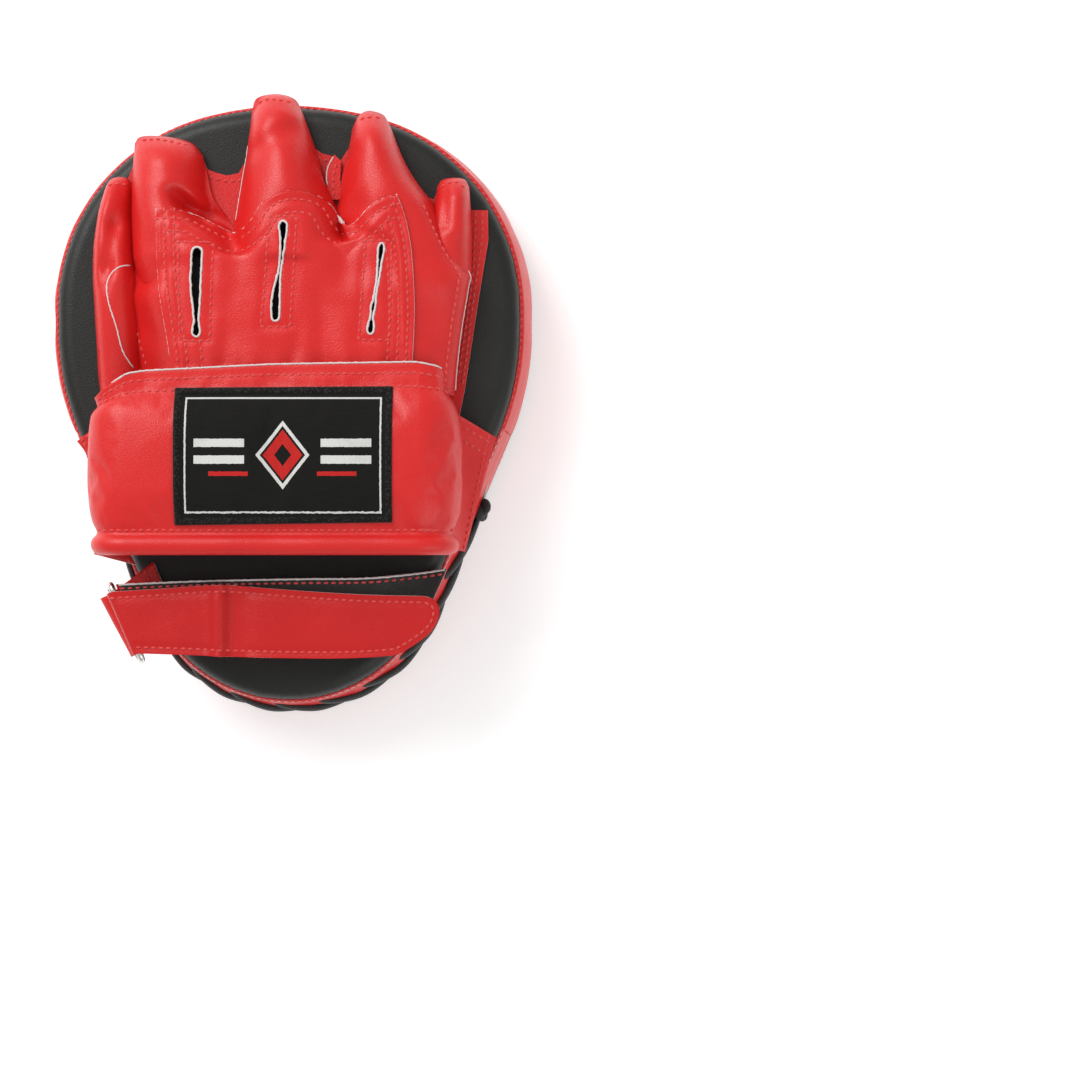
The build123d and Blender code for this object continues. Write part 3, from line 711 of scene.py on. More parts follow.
def smooth_line(points, step, closed=False):
    """Evenly spaced points on a smooth line through the given ones."""
    points = np.asarray(points, float)
    if closed:
        knots = np.vstack([points[-1], points, points[:2]])
    else:
        knots = np.vstack([2 * points[0] - points[1], points, 2 * points[-1] - points[-2]])
    dense = []
    share = np.linspace(0, 1, 24, endpoint=False)[:, None]
    for a, b, c, d in zip(knots, knots[1:], knots[2:], knots[3:]):
        bend = 2 * a - 5 * b + 4 * c - d + share * (3 * (b - c) + d - a)
        dense.append(b + 0.5 * share * (c - a + share * bend))
    return even_line(np.vstack(dense + [knots[-2][None]]), step)


def even_line(points, step):
    """Evenly spaced points along straight runs, about step apart, ends included."""
    points = np.asarray(points, float)
    run = np.append(0, np.cumsum(np.linalg.norm(np.diff(points[:, :3], axis=0), axis=1)))
    wanted = np.linspace(0, run[-1], max(2, round(run[-1] / step) + 1))
    return np.stack([np.interp(wanted, run, points[:, k]) for k in range(points.shape[1])], -1)


lace_stops = []
for step in range(lace_steps + 1):
    front_run = lace_ends[0] + step * lace_spacing
    back_run = front_run + lace_spacing * (0.5 + (LACE_SLANT if step < lace_steps else 0))
    stops = [
        (front_run, front_hole_z, -LACE_INSIDE, 1.0),
        (front_run, front_hole_z, LACE_STAND_OFF, 0.7),
        ((front_run + back_run) / 2, band_middle_z, LACE_STAND_OFF + LACE_BOW, 1.0),
        (back_run, back_hole_z, LACE_STAND_OFF, 0.7),
        (back_run, back_hole_z, -LACE_INSIDE, 1.0),
    ]
    for run, z, lift, width in stops:
        place, outward = wall_spot(run, z, lift)
        lace_stops.append([*place, *outward, LACE_HALF_WIDTH * width])
lace_line = smooth_line(lace_stops, 1.2)
lace = tube_round(
    "woven_lace", lace_line[:, :3], lace_line[:, 6], black_lace, sides=10,
    flat=LACE_THICKNESS_SHARE, normals=lace_line[:, 3:6],
)
knot_center, knot_outward = wall_spot(lace_ends[0] - 1.0, front_hole_z + 9.0, 4.4)
knot_along = np.array([-knot_outward[1], knot_outward[0], 0.0])
knot_route = []
for turn in np.linspace(0, 2 * np.pi, 60, endpoint=False):
    sideways = math.sin(turn) + 2 * math.sin(2 * turn)
    upward = math.cos(turn) - 2 * math.cos(2 * turn)
    outwards = -math.sin(3 * turn)
    offset = sideways * knot_along + upward * np.array([0, 0, 1.4]) + 0.9 * outwards * knot_outward
    knot_route.append(knot_center + KNOT_SIZE / 3 * offset)
knot = tube_round("lace_knot", knot_route, KNOT_RADIUS, black_lace, closed=True, flat=0.75)
fasten(lace, "lace", "lace")
fasten(knot, "lace")

# ---------------------------------------------------------------- palm panel
# The glove's floor: one cut of red leather sewn to the back cover, with webs between the
# fingers and a double-stitched flange beyond the little finger.
PALM_THICKNESS = 1.2
palm_low, palm_high = box_of("palm_panel")
PALM_PLAN = [
    (-73, -24), (-78, -9), (-79, 12), (-79.5, 44), (-77.5, 63), (-74.5, 77), (-67, 79),
    (-65, 84), (-63, 94), (-55.5, 95.6), (-46, 94.6), (-38.5, 92), (-35.4, 87.5), (-33.7, 83.2),
    (-30.2, 81.7), (-25.4, 80.5), (-20.5, 81.5), (-17.5, 86.5), (-15.2, 94), (-13, 108.8),
    (-10, 112), (-2.8, 112.8), (3.4, 110.4), (6, 106), (8.6, 99), (10.9, 92.4), (14.4, 89.8),
    (18.5, 88.7), (22.5, 87), (25.8, 92), (28, 99.5), (31, 104.8), (35.4, 106), (40, 104.4),
    (42.5, 101), (48, 86), (53.5, 77), (58.5, 71.5), (61.5, 70.5), (63.5, 76), (66, 77.6),
    (72, 78.4), (75.2, 76), (76.3, 66), (84.1, 65.9), (84.3, 53.3), (79.8, 25.8), (74.5, -9),
    (71.5, -24),
]
PALM_STITCHES = [
    [(78.8, 64.3), (78.3, 50), (77.3, 36), (72.0, -1.7)],
    [(81.8, 64.0), (81.4, 52), (77.9, 28), (73.6, -6)],
    [(-35.2, 80.4), (-30.6, 79.2), (-25.4, 78.1), (-20.0, 78.4)],
    [(10.5, 89.6), (14.0, 87.4), (18.3, 86.3), (22.0, 85.6)],
]


def cut_leather(name, plan, z, thickness, finish):
    """A flat cut piece with pale raw edges, standing from z up to z + thickness."""
    count = len(plan)
    points = [(x, y, z + thickness) for x, y in plan] + [(x, y, z) for x, y in plan]
    faces = [tuple(range(count)), tuple(range(count, 2 * count))[::-1]]
    faces += [(i, i + count, (i + 1) % count + count, (i + 1) % count) for i in range(count)]
    piece = make_piece(name, points, faces, finish, raw_backing, face_finish=[0, 0] + [1] * count)
    if piece.data.polygons[0].normal.z < 0:
        piece.data.flip_normals()
    piece.data.polygons.foreach_set("use_smooth", [False] * len(faces))
    return piece


class Surface:
    """The upper surface of some pieces, for laying seams and further layers on."""

    def __init__(self, *pieces):
        points, faces = [], []
        for piece in pieces:
            start = len(points)
            points += [vertex.co * 1000 for vertex in piece.data.vertices]
            faces += [[start + i for i in face.vertices] for face in piece.data.polygons]
        self.tree = BVHTree.FromPolygons(points, faces)

    def at(self, x, y, fallback=0.0):
        """Height and upward direction of the topmost surface over a place in plan."""
        place, normal, _, _ = self.tree.ray_cast(Vector((x, y, 200.0)), Vector((0, 0, -1)))
        if place is None:
            return fallback, np.array([0.0, 0.0, 1.0])
        normal = np.array(normal)
        return place.z, normal if normal[2] > 0 else -normal


def stitch_spots(surface, path, rounded=True):
    """Where stitches lie along a line drawn in plan on a surface."""
    line = (smooth_line if rounded else even_line)(path, STITCH_PITCH)
    spots = []
    for k, (x, y) in enumerate(line):
        z, up = surface.at(x, y, None)
        if z is None:
            continue
        ahead = line[min(k + 1, len(line) - 1)] - line[max(k - 1, 0)]
        along = np.array([*ahead, 0.0])
        along -= up * (along @ up)
        spots.append((np.array([x, y, z]) - STITCH_SINK * up, along, up))
    return spots


def sew_rows(name, surface, paths, rounded=True):
    """All of one piece's stitch rows as a single piece of thread work."""
    spots = [spot for path in paths for spot in stitch_spots(surface, path, rounded)]
    fasten(sew(name, spots), "red_binding")


palm = cut_leather("palm_leather", PALM_PLAN, palm_low.z, PALM_THICKNESS, red_leather)
fasten(palm, "red_leather", "palm_panel")
sew_rows("palm_stitches", Surface(palm), PALM_STITCHES)

# ---------------------------------------------------------------- finger sleeves
# Five closed red leather sleeves, empty and half collapsed, each with a stitched hem at
# its tip. Every sleeve is crowned between its sides and creased where the leather folds.
SLEEVE_THICKNESS = 1.1
HEM_HEIGHT = 2.2
HEM_LENGTH = 0.15
HEM_STITCH_INSET = 2.4
HEM_STITCH_DROP = 1.2
SLEEVE_WAVER = 0.45
ROOT_FROM_Y, ROOT_LENGTH = 52, 20
ROOT_LIFT = 1.2
ROWS, COLUMNS = 64, 40

sleeve_floor = palm_high.z + 0.05
# Each sleeve: its left and right sides from base to tip, its tip from left to right, and
# stations (y, left x, right x, crest height) of its crown.
SLEEVE_CUTS = {
    "thumb_sleeve": (
        [(-77.6, -14), (-79.2, 0), (-80.2, 27), (-81.3, 44), (-79.2, 63), (-75.6, 76)],
        [(-58, -14), (-58, 4), (-58, 28), (-59, 46), (-62, 62), (-65.2, 76.5)],
        [(-75.6, 76), (-73.6, 78.6), (-70.4, 79.6), (-66.8, 79.0), (-65.2, 76.5)],
        [(-14, -78, -60, 9), (10, -79.8, -61, 12), (36, -81.2, -62, 15), (50, -81, -64, 15),
         (64, -79, -65.5, 13), (76, -76, -65, 10), (80, -74, -66, 6)],
    ),
    "little_sleeve": (
        [(55, 36), (58, 52), (61.8, 67), (63.0, 75.5)],
        [(77.4, 36), (77.5, 50), (77.2, 63), (76.3, 75.5)],
        [(63.0, 75.5), (64.8, 78.2), (69, 79.2), (74.2, 78.6), (76.3, 75.5)],
        [(36, 52, 78, 14), (55, 59, 77.8, 15), (70, 62.2, 77.2, 13), (78, 63.4, 76.2, 8)],
    ),
    "index_sleeve": (
        [(-61.6, 33.5), (-64.4, 45), (-65.0, 60), (-64.6, 79), (-63.7, 93.5)],
        [(-12, 33.5), (-17, 46), (-22, 58), (-30.5, 70), (-33.4, 81), (-35.4, 89)],
        [(-63.7, 93.5), (-61.6, 96.2), (-55.5, 96.8), (-46, 95.7), (-39.2, 93.4), (-35.4, 89)],
        [(33.5, -62, -10, 20), (45, -64.6, -15, 22.5), (58, -65, -23, 21), (66, -65, -32, 19),
         (74, -64.9, -35, 18), (84, -64.6, -34.4, 16), (92, -64, -35, 12), (98, -62, -38, 6)],
    ),
    "ring_sleeve": (
        [(50, -10), (49, 20), (47.6, 40), (45.6, 51), (37, 55), (20, 60), (21.8, 69), (23.0, 80),
         (25.6, 90), (27.5, 100)],
        [(71, -10), (71.8, 0), (73.8, 16), (76.6, 33), (77.0, 38.5), (69.6, 50.4), (62.2, 66.7),
         (55.6, 75.6), (49.3, 86), (43.2, 101)],
        [(27.5, 100), (29.6, 104.6), (32.4, 106.8), (35.6, 107.2), (40.6, 105.4), (43.2, 101)],
        [(30, 12, 79, 22), (50, 18, 70.4, 23), (68, 21.6, 61.6, 22), (80, 23, 52.8, 20),
         (90, 25.6, 47.6, 18), (99, 27.3, 44, 15), (107, 30, 41, 9)],
    ),
    "middle_sleeve": (
        [(-23.5, 44), (-22, 60), (-19.6, 73), (-17.6, 85), (-16.3, 93), (-14.4, 108)],
        [(27, 44), (24.6, 58), (20.7, 67.4), (16, 77), (12.4, 90), (6.7, 106)],
        [(-14.4, 108), (-13.2, 111.8), (-9.6, 113.7), (-3, 114.2), (3.6, 111.9), (6.7, 106)],
        [(44, -24, 28, 24), (60, -22, 24, 24), (73, -19.6, 18, 22), (85, -17.6, 13.6, 20),
         (93, -16.4, 11.4, 18), (104, -14.8, 7.8, 14), (114, -11, 3, 8)],
    ),
}
# Creases (start, end, width, depth) in plan; a negative depth is a ridge.
SLEEVE_CREASES = {
    "thumb_sleeve": [((-67.5, 76), (-70.5, 58), 3.4, 2.4), ((-70.5, 58), (-73.4, 40), 3.4, 2.8),
                     ((-73.4, 40), (-74.5, 34), 3.0, 1.6)],
    "little_sleeve": [((66.5, 74), (66.5, 58), 2.4, 1.6), ((73.5, 74), (74.2, 54), 2.2, -0.6)],
    "index_sleeve": [((-44.4, 70.5), (-41.0, 66.6), 2.6, 6.5),
                     ((-41.0, 66.6), (-33, 62.0), 3.4, 8.5),
                     ((-33, 62.0), (-22.5, 57.5), 4.6, 9.5), ((-36.5, 88), (-40, 78), 5.0, 0.8),
                     ((-60, 55), (-50, 47), 5.5, 0.7), ((-50, 84), (-46.5, 75), 5.5, -0.7)],
    "ring_sleeve": [((30, 66), (26, 58), 4.5, 3.5), ((38, 96), (44, 74), 5.5, -1.0),
                    ((56, 66), (68, 44), 6.0, -1.4), ((30, 90), (27, 76), 3.2, 1.4),
                    ((50, 60), (64, 38), 7.0, 1.2)],
    "middle_sleeve": [((3, 97), (-17.5, 86.5), 4.2, 1.8), ((4, 104), (-14, 96), 4.5, -0.9),
                      ((8, 92), (15, 70), 4.2, 1.1), ((-8, 84), (-18, 66), 6.0, 1.0),
                      ((-4, 92), (2, 74), 5.0, -0.9)],
}


def from_line(x, y, start, end):
    """Distance in plan from a straight line, and the nearest point's share of its length."""
    start, end = np.array(start, float), np.array(end, float)
    run = end - start
    share = np.clip(((x - start[0]) * run[0] + (y - start[1]) * run[1]) / (run @ run), 0, 1)
    return np.hypot(x - start[0] - share * run[0], y - start[1] - share * run[1]), share


def creased(x, y, creases, fade=0.0):
    """How far a surface sinks at each place because of its creases, which may fade out."""
    sunk = 0.0 * x
    for start, end, width, depth in creases:
        distance, share = from_line(x, y, start, end)
        sunk = sunk + depth * (1 - fade * share) * np.exp(-((distance / width) ** 2))
    return sunk


def spread_line(points, shares):
    """Places at given shares of a smooth line in plan."""
    line = smooth_line(points, 0.5)
    run = np.linspace(0, 1, len(line))
    return np.stack([np.interp(shares, run, line[:, k]) for k in (0, 1)], -1)


def coons_plan(left, right, far, rows, columns):
    """A grid in plan between two sides and a far end, with a straight near end."""
    across = (1 - np.cos(np.linspace(0, np.pi, columns))) / 2
    ahead = np.linspace(0, 1, rows)
    left_line, right_line = spread_line(left, ahead)[:, None], spread_line(right, ahead)[:, None]
    near_line = spread_line([left[0], right[0]], across)[None]
    far_line = spread_line(far, across)[None]
    u, v = across[None, :, None], ahead[:, None, None]
    corners = (1 - u) * ((1 - v) * left_line[0, 0] + v * left_line[-1, 0])
    corners = corners + u * ((1 - v) * right_line[0, 0] + v * right_line[-1, 0])
    plan = (1 - u) * left_line + u * right_line + (1 - v) * near_line + v * far_line - corners
    return plan[..., 0], plan[..., 1]


def relax(z, rounds, floor=None, hold_rim=True):
    """Evens out a grid of heights, and keeps it above a floor."""
    for _ in range(rounds):
        softer = z.copy()
        softer[1:-1, 1:-1] = (
            z[1:-1, 1:-1] + (z[:-2, 1:-1] + z[2:, 1:-1] + z[1:-1, :-2] + z[1:-1, 2:]) / 4
        ) / 2
        if not hold_rim:
            softer[0], softer[-1] = softer[1], softer[-2]
            softer[:, 0], softer[:, -1] = softer[:, 1], softer[:, -2]
        z = softer if floor is None else np.maximum(softer, floor)
    return z


def crown_height(x, y, stations):
    """Height of a sleeve's crown over its floor, from stations along it."""
    station_y, *columns = np.transpose(stations)
    left, right, crest = (np.interp(y, station_y, column) for column in columns)
    across = np.clip((x - left) / (right - left), 0, 1) * 2 - 1
    return crest * np.maximum(1 - np.abs(across) ** 2.3, 0) ** 0.5


HAND_CREST = 21.5
HAND_LEFT_CLIMB, HAND_LEFT_FOOT = 26, 0.12
HAND_RIGHT_CLIMB, HAND_RIGHT_FOOT = 30, 0.22
HAND_WAVER = 0.35
HAND_LEFT = [(-66, -12), (-65, -1), (-67.2, 6), (-69.6, 16), (-72.3, 25), (-73.4, 32)]
HAND_RIGHT = [(70.5, -12), (71.6, 0), (73.8, 16), (76.4, 33), (77.4, 38)]
HAND_CREASES = [((-71, 33), (-53, 33.5), 3.0, 2.2), ((-66, 24), (-52, 10), 6.0, 1.4),
                ((60, 34), (74, 34), 6.0, -1.0), ((58, 30), (66, 2), 7.0, 1.2)]


def shoulder(distance, reach):
    """A quarter round that climbs from 0 to 1 over reach."""
    share = np.clip(distance / reach, 0, 1)
    return np.sqrt(1 - (1 - share) ** 2)


def hand_height(x, y):
    """How high the back of the hand stands over the sleeves' floor."""
    left_x, right_x = (
        np.interp(y, *np.transpose([*side, end])[::-1])
        for side, end in ((HAND_LEFT, (-66, 46)), (HAND_RIGHT, (74, 50)))
    )
    left_climb = HAND_LEFT_FOOT + (1 - HAND_LEFT_FOOT) * ease((x - left_x) / HAND_LEFT_CLIMB)
    right_climb = shoulder(right_x - x, HAND_RIGHT_CLIMB)
    right_climb = HAND_RIGHT_FOOT + (1 - HAND_RIGHT_FOOT) * right_climb
    crown = HAND_CREST * left_climb * right_climb
    return crown - creased(x, y, HAND_CREASES) + HAND_WAVER * ripple(x, y, 16.0, 2.0)


def sheet_of(name, x, y, z, finish, thickness, raw_edge=True):
    """A leather sheet from a grid of places and heights."""
    points = np.stack([x, y, z], -1).reshape(-1, 3)
    piece = make_piece(name, points, grid_faces(*x.shape), finish, raw_backing)
    if piece.data.polygons[len(piece.data.polygons) // 2].normal.z < 0:
        piece.data.flip_normals()
    return thicken(piece, thickness, raw_edge)


sleeves = {}
for cad_node, (left, right, tip, stations) in SLEEVE_CUTS.items():
    x, y = coons_plan(left, right, tip, ROWS, COLUMNS)
    ahead = np.linspace(0, 1, ROWS)[:, None]
    ending = np.sqrt(np.clip(1 - np.clip((ahead - 1 + HEM_LENGTH) / HEM_LENGTH, 0, 1) ** 2.2, 0, 1))
    z = HEM_HEIGHT + np.maximum(crown_height(x, y, stations) - HEM_HEIGHT, 0) * ending
    seed = stations[0][3]
    z = z - creased(x, y, SLEEVE_CREASES[cad_node]) * np.clip(z / 9, 0, 1)
    z = z + SLEEVE_WAVER * ripple(x, y, 17.0, seed) * np.clip(z / 10, 0, 1)
    root = ease((ROOT_FROM_Y - y) / ROOT_LENGTH) * (cad_node == "ring_sleeve")
    rooted = hand_height(x, y) + ROOT_LIFT
    z = relax(np.maximum(z * (1 - root) + rooted * root, 0.4), 4)
    z[:, 0], z[:, -1] = 0.3, np.maximum(0.3, (root * rooted)[:, -1])
    sleeve = sheet_of(cad_node + "_leather", x, y, sleeve_floor + z, red_leather, SLEEVE_THICKNESS)
    fasten(sleeve, "red_leather", cad_node)
    sleeves[cad_node] = sleeve
    inward = np.mean(tip, axis=0) - tip
    inward /= np.linalg.norm(inward, axis=1, keepdims=True)
    hem = np.array(tip) + HEM_STITCH_INSET * inward - np.array([0, HEM_STITCH_DROP])
    sew_rows(cad_node + "_hem_stitches", Surface(sleeve), [hem[1:-1] if len(hem) > 5 else hem])

# ---------------------------------------------------------------- hand back panel
# Red leather over the back of the hand. Its sides run out past the knuckle panel to the
# roots of the fingers, with raw pale edges and a row of stitches inside them.
HAND_FRONT = [(-73.4, 32), (-72.2, 37), (-68.4, 40.4), (-62, 42), (-40, 44), (0, 46), (24, 50),
              (44, 53), (77.4, 38)]
RAW_EDGE_RADIUS = 0.3
RAW_EDGE_FRAY = 0.22
RAW_EDGE_STEP = 0.9


def raw_edge(
    name, surface, path, owner="mitt", rounded=True, closed=False, lift=0.1, girth=RAW_EDGE_RADIUS
):
    """The frayed pale core of the leather, seen along a cut edge."""
    step = RAW_EDGE_STEP
    line = smooth_line(path, step, closed)[:-1] if rounded else even_line(path, step)
    route = []
    for x, y in line:
        z, up = surface.at(x, y, None)
        if z is None:
            z = route[-1][2] - lift if route else 60.0
        route.append([x, y, z + lift])
    route = np.array(route)
    turn = np.arange(len(route)) * step
    for axis, seed in enumerate((3.0, 8.0)):
        route[:, axis] += RAW_EDGE_FRAY * ripple(turn, turn * 0, 1.3, seed)
    radius = girth * (1 + 0.45 * ripple(turn, turn * 0, 1.7, 5.0))
    edge = tube_round(name, route, radius, raw_backing, closed=closed, sides=6)
    if owner:
        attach(edge, owner)
    return edge


def inside_line(path, distance):
    """A line beside another in plan, to its right when distance is positive."""
    line = smooth_line(path, 2.0)
    ahead = np.gradient(line, axis=0)
    ahead /= np.linalg.norm(ahead, axis=1, keepdims=True)
    return line + distance * np.column_stack([ahead[:, 1], -ahead[:, 0]])


x, y = coons_plan(HAND_LEFT, HAND_RIGHT, HAND_FRONT, rows=40, columns=72)
z = relax(sleeve_floor + hand_height(x, y) - 1.2 * np.clip((y - 30) / 8, 0, 1) * (x > 20), 3)
hand_panel = sheet_of("hand_back_leather", x, y, z, red_leather, SLEEVE_THICKNESS)
hand_surface = Surface(hand_panel)

# ---------------------------------------------------------------- knuckle panel
# The top layer, drawn tight over the hand panel and the roots of the sleeves. Its front
# edge dips between the fingers, double rows of stitches hold it, and three frayed
# finger slots are cut through it.
KNUCKLE_LEFT = [(-46, -5), (-46.4, 3), (-48.8, 19), (-51.2, 36), (-51.6, 50), (-51.8, 63)]
KNUCKLE_RIGHT = [(53.2, -5), (53.7, 3), (54.4, 23), (53.3, 45), (50.6, 60), (47.3, 69)]
KNUCKLE_FRONT = [
    (-51.8, 63), (-46.7, 63.4), (-37.3, 62.6), (-29, 58.6), (-20.5, 55.4), (-13.4, 58.3),
    (-8, 65.6), (-1, 69.8), (7, 70.8), (15, 69.3), (20.2, 65.4), (23.2, 59.6), (27.2, 57.4),
    (31.5, 59.8), (36.5, 64.6), (41.9, 67.6), (47.3, 69),
]
KNUCKLE_LIFT = 1.5
KNUCKLE_THICKNESS = 1.2
KNUCKLE_WAVER = 0.25
KNUCKLE_GATHERS = [
    ((-24, 0), (-21, 30), 3.2, 1.3), ((-12, 0), (-13, 24), 4.2, -0.8),
    ((4, 0), (8, 20), 2.8, 1.1), ((17, 0), (15, 34), 3.6, 1.5), ((27, 0), (25, 24), 3.6, -0.9),
    ((45, 0), (43, 16), 3.0, 0.9), ((-20.5, 56), (-16, 26), 5.5, 2.2),
    ((27, 57), (24, 26), 5.5, 2.4), ((-37, 0), (-36, 9), 3.0, 0.7),
    ((10, 58), (13, 20), 6.0, -0.7), ((-12, 52), (-11, 24), 5.0, -0.5),
]
# Each slot's centre line with its half width at every point, from the tip end down.
SLOTS = [
    [(-34.6, 47.6, 0.6), (-34.6, 46, 2.0), (-35, 40, 2.2), (-35.2, 31, 2.0), (-35, 24, 1.5),
     (-34.9, 18, 1.0), (-35, 15, 1.3), (-35, 12.6, 1.7), (-35, 11, 0.6)],
    [(0.9, 58, 0.6), (0.9, 56, 1.7), (0.9, 52, 1.2), (0.5, 46, 0.8), (-0.6, 39, 0.5),
     (-1.4, 34, 0.9), (-2.1, 29, 1.5), (-2.4, 24, 1.7), (-2.5, 19, 1.6), (-2.6, 17.4, 0.6)],
    [(41, 49.4, 0.5), (40.8, 47, 1.3), (40.2, 42, 0.9), (39.4, 34, 0.5), (38.2, 27, 0.5),
     (37.6, 23, 0.9), (37, 19, 0.6), (36.7, 15.6, 1.2), (36.5, 13.4, 1.4), (36.4, 12, 0.5)],
]
SLOT_BOXES = [
    [(-42.4, 49.8), (-28.2, 49.8), (-29.6, 9.4), (-41.8, 9.4), (-42.4, 49.8)],
    [(-4.6, 60), (6.4, 60), (3.4, 15), (-8.6, 15), (-4.6, 60)],
    [(34.2, 50.6), (45.2, 50.6), (44.2, 9.6), (31.6, 9.6), (34.2, 50.6)],
]
# How far under the hand panel the near-black sheets seen through the slots lie: painted shade for
# the dark hollow inside the glove.
SLOT_SHADE_DROP = 3.2
SLOT_GROWTH_BELOW = 1.2
PUNCH_TOP = 90.0


def under_heights(surface, x, y, fallback):
    """Heights of what lies under each place."""
    return np.vectorize(lambda a, b: surface.at(a, b, fallback)[0])(x, y)


def draped(surface, x, y, lift, fallback, rounds=6):
    """Heights of a sheet pulled over what lies under it."""
    under = under_heights(surface, x, y, fallback)
    spread = relax(under, 2, hold_rim=False)
    return relax(np.maximum(spread, under) + lift, rounds, under + lift * 0.8, hold_rim=False)


def slot_outline(centers, grow=0.0):
    left = [(x - half - grow, y) for x, y, half in centers]
    right = [(x + half + grow, y) for x, y, half in centers]
    outline = smooth_line(left + right[::-1], 1.2, closed=True)[:-1]
    turn = np.arange(len(outline)) * 1.2
    outline[:, 0] += 0.22 * ripple(turn, turn * 0, 2.5, centers[0][0])
    return outline


def punch_slots(layer, grow, low):
    """Cuts the three finger slots out of a layer, from a height upwards."""
    outlines = [[tuple(point) for point in slot_outline(slot, grow)] for slot in SLOTS]
    height = PUNCH_TOP - low
    cut_away(layer, [cut_leather("punch", plan, low, height, raw_backing) for plan in outlines])


x, y = coons_plan(KNUCKLE_LEFT, KNUCKLE_RIGHT, KNUCKLE_FRONT, rows=72, columns=92)
under_knuckles = Surface(hand_panel, *sleeves.values())
z = draped(under_knuckles, x, y, KNUCKLE_LIFT, 70.0)
gathered = creased(x, y, KNUCKLE_GATHERS, fade=0.9)
knuckle_outline = np.vstack([KNUCKLE_LEFT, KNUCKLE_FRONT, KNUCKLE_RIGHT[::-1]])
# Each stitch row: the edge it follows, how far inside it lies, and the stretch it covers.
KNUCKLE_ROWS = [
    (KNUCKLE_FRONT, 3.6, None, None), (KNUCKLE_FRONT, 9.0, 3, -2),
    (KNUCKLE_LEFT, 3.4, None, None), (KNUCKLE_LEFT, 7.4, None, None), (KNUCKLE_LEFT, 13.5, 0, 7),
    (KNUCKLE_RIGHT, -2.6, None, None), (KNUCKLE_RIGHT, -6.4, 0, -4), (KNUCKLE_RIGHT, -10.2, 0, -6),
]
seam_lines = [inside_line(edge, inset)[start:end] for edge, inset, start, end in KNUCKLE_ROWS]


def pressed(x, y, lines, depth=0.55, width=1.5):
    """How far stitch rows draw a sheet down at each place."""
    sunk = 0.0 * x
    for line in lines:
        dense = even_line(line, 0.8)
        nearest = np.full(x.shape, 1e9)
        for px, py in dense:
            nearest = np.minimum(nearest, (x - px) ** 2 + (y - py) ** 2)
        sunk = np.maximum(sunk, depth * np.exp(-nearest / width**2))
    return sunk


z = z - gathered + KNUCKLE_WAVER * ripple(x, y, 9.0, 6.0)
z = z - pressed(x, y, seam_lines + SLOT_BOXES)
knuckle_panel = sheet_of("knuckle_leather", x, y, z, red_leather, KNUCKLE_THICKNESS)
knuckle_surface = Surface(knuckle_panel)
punch_slots(knuckle_panel, 0.0, 60.0)
for layer in (hand_panel, sleeves["index_sleeve"], sleeves["middle_sleeve"]):
    punch_slots(layer, SLOT_GROWTH_BELOW, 53.5)

# Under each slot lies a near-black sheet. It is painted shade that stands for the dark hollow
# inside the glove, not a real lining.
painted_slot_shade = Finish("slot_lining_cloth", Roughness=0.9)
slot_shade_mottle = painted_slot_shade.cloud(painted_slot_shade.place(), 0.0009, 3.0)
slot_shade_tone = painted_slot_shade.mix(slot_shade_mottle, (0.004, 0.004, 0.004, 1), (0.014, 0.013, 0.012, 1))
painted_slot_shade.feed(Base_Color=slot_shade_tone)
for number, slot in enumerate(SLOTS, 1):
    center_x, center_y = np.mean([p[0] for p in slot]), (slot[0][1] + slot[-1][1]) / 2
    shade_sheet_x, shade_sheet_y = np.meshgrid(
        np.linspace(center_x - 8, center_x + 8, 12), np.linspace(center_y - 24, center_y + 23, 24)
    )
    shade_sheet_z = under_heights(hand_surface, shade_sheet_x, shade_sheet_y, 70.0) - SLOT_SHADE_DROP
    lining = sheet_of(f"slot_lining_{number}", shade_sheet_x, shade_sheet_y, shade_sheet_z, painted_slot_shade, 0.6)
    fasten(lining, "black_leather")
    rim = slot_outline(slot)
    raw_edge(f"slot_edge_{number}", knuckle_surface, rim, closed=True, lift=0.05, girth=0.46)

fasten(hand_panel, "red_leather", "hand_back_panel")
fasten(knuckle_panel, "red_leather", "knuckle_panel")
sew_rows("knuckle_stitches", knuckle_surface, seam_lines)
sew_rows("slot_stitches", knuckle_surface, SLOT_BOXES, rounded=False)
raw_edge("knuckle_raw_edge", knuckle_surface, knuckle_outline[1:-1] * [0.996, 0.996], lift=-0.45)
thumb_surface = Surface(sleeves["thumb_sleeve"])
hand_left_rim = [(-63.2, -1)] + HAND_LEFT[2:] + HAND_FRONT[1:3] + [(-63.5, 42)]
raw_edge("hand_left_raw_edge", thumb_surface, hand_left_rim)
ring_surface = Surface(sleeves["ring_sleeve"])
ring_right = SLEEVE_CUTS["ring_sleeve"][1][:7]
raw_edge("hand_right_raw_edge", ring_surface, [(x - 0.35, y) for x, y in ring_right])
hand_left_row = inside_line(HAND_LEFT[1:] + HAND_FRONT[1:2], 7.0)[:-3]
sew_rows("hand_left_stitches", hand_surface, [hand_left_row])
sew_rows("hand_right_stitches", ring_surface, [inside_line(ring_right, -4.5)])
raw_edge("middle_sleeve_raw_edge", Surface(sleeves["middle_sleeve"]),
         [(-16.0, 92), (-17.2, 85), (-19.2, 73), (-21.0, 60)], lift=-0.3)

# ---------------------------------------------------------------- web tab
# A small offcut sewn upright between the middle and ring fingers, with one raw edge.
WEB_TAB = [(17.6, 70), (16.2, 79.5), (17.0, 84), (20.0, 88.8), (22.6, 86), (22.4, 78), (23.4, 70)]
WEB_TAB_RIM = [(17.0, 76), (16.7, 79.6), (17.4, 83.8), (20.0, 88.4)]
web_tab = cut_leather("web_tab", WEB_TAB, palm_high.z + 2.0, PALM_THICKNESS, red_leather)
fasten(web_tab, "red_leather")
raw_edge("web_tab_raw_edge", Surface(web_tab), WEB_TAB_RIM)
sew_rows("web_tab_stitches", Surface(web_tab), [[(19.6, 72), (19.4, 78), (20.6, 84)]])

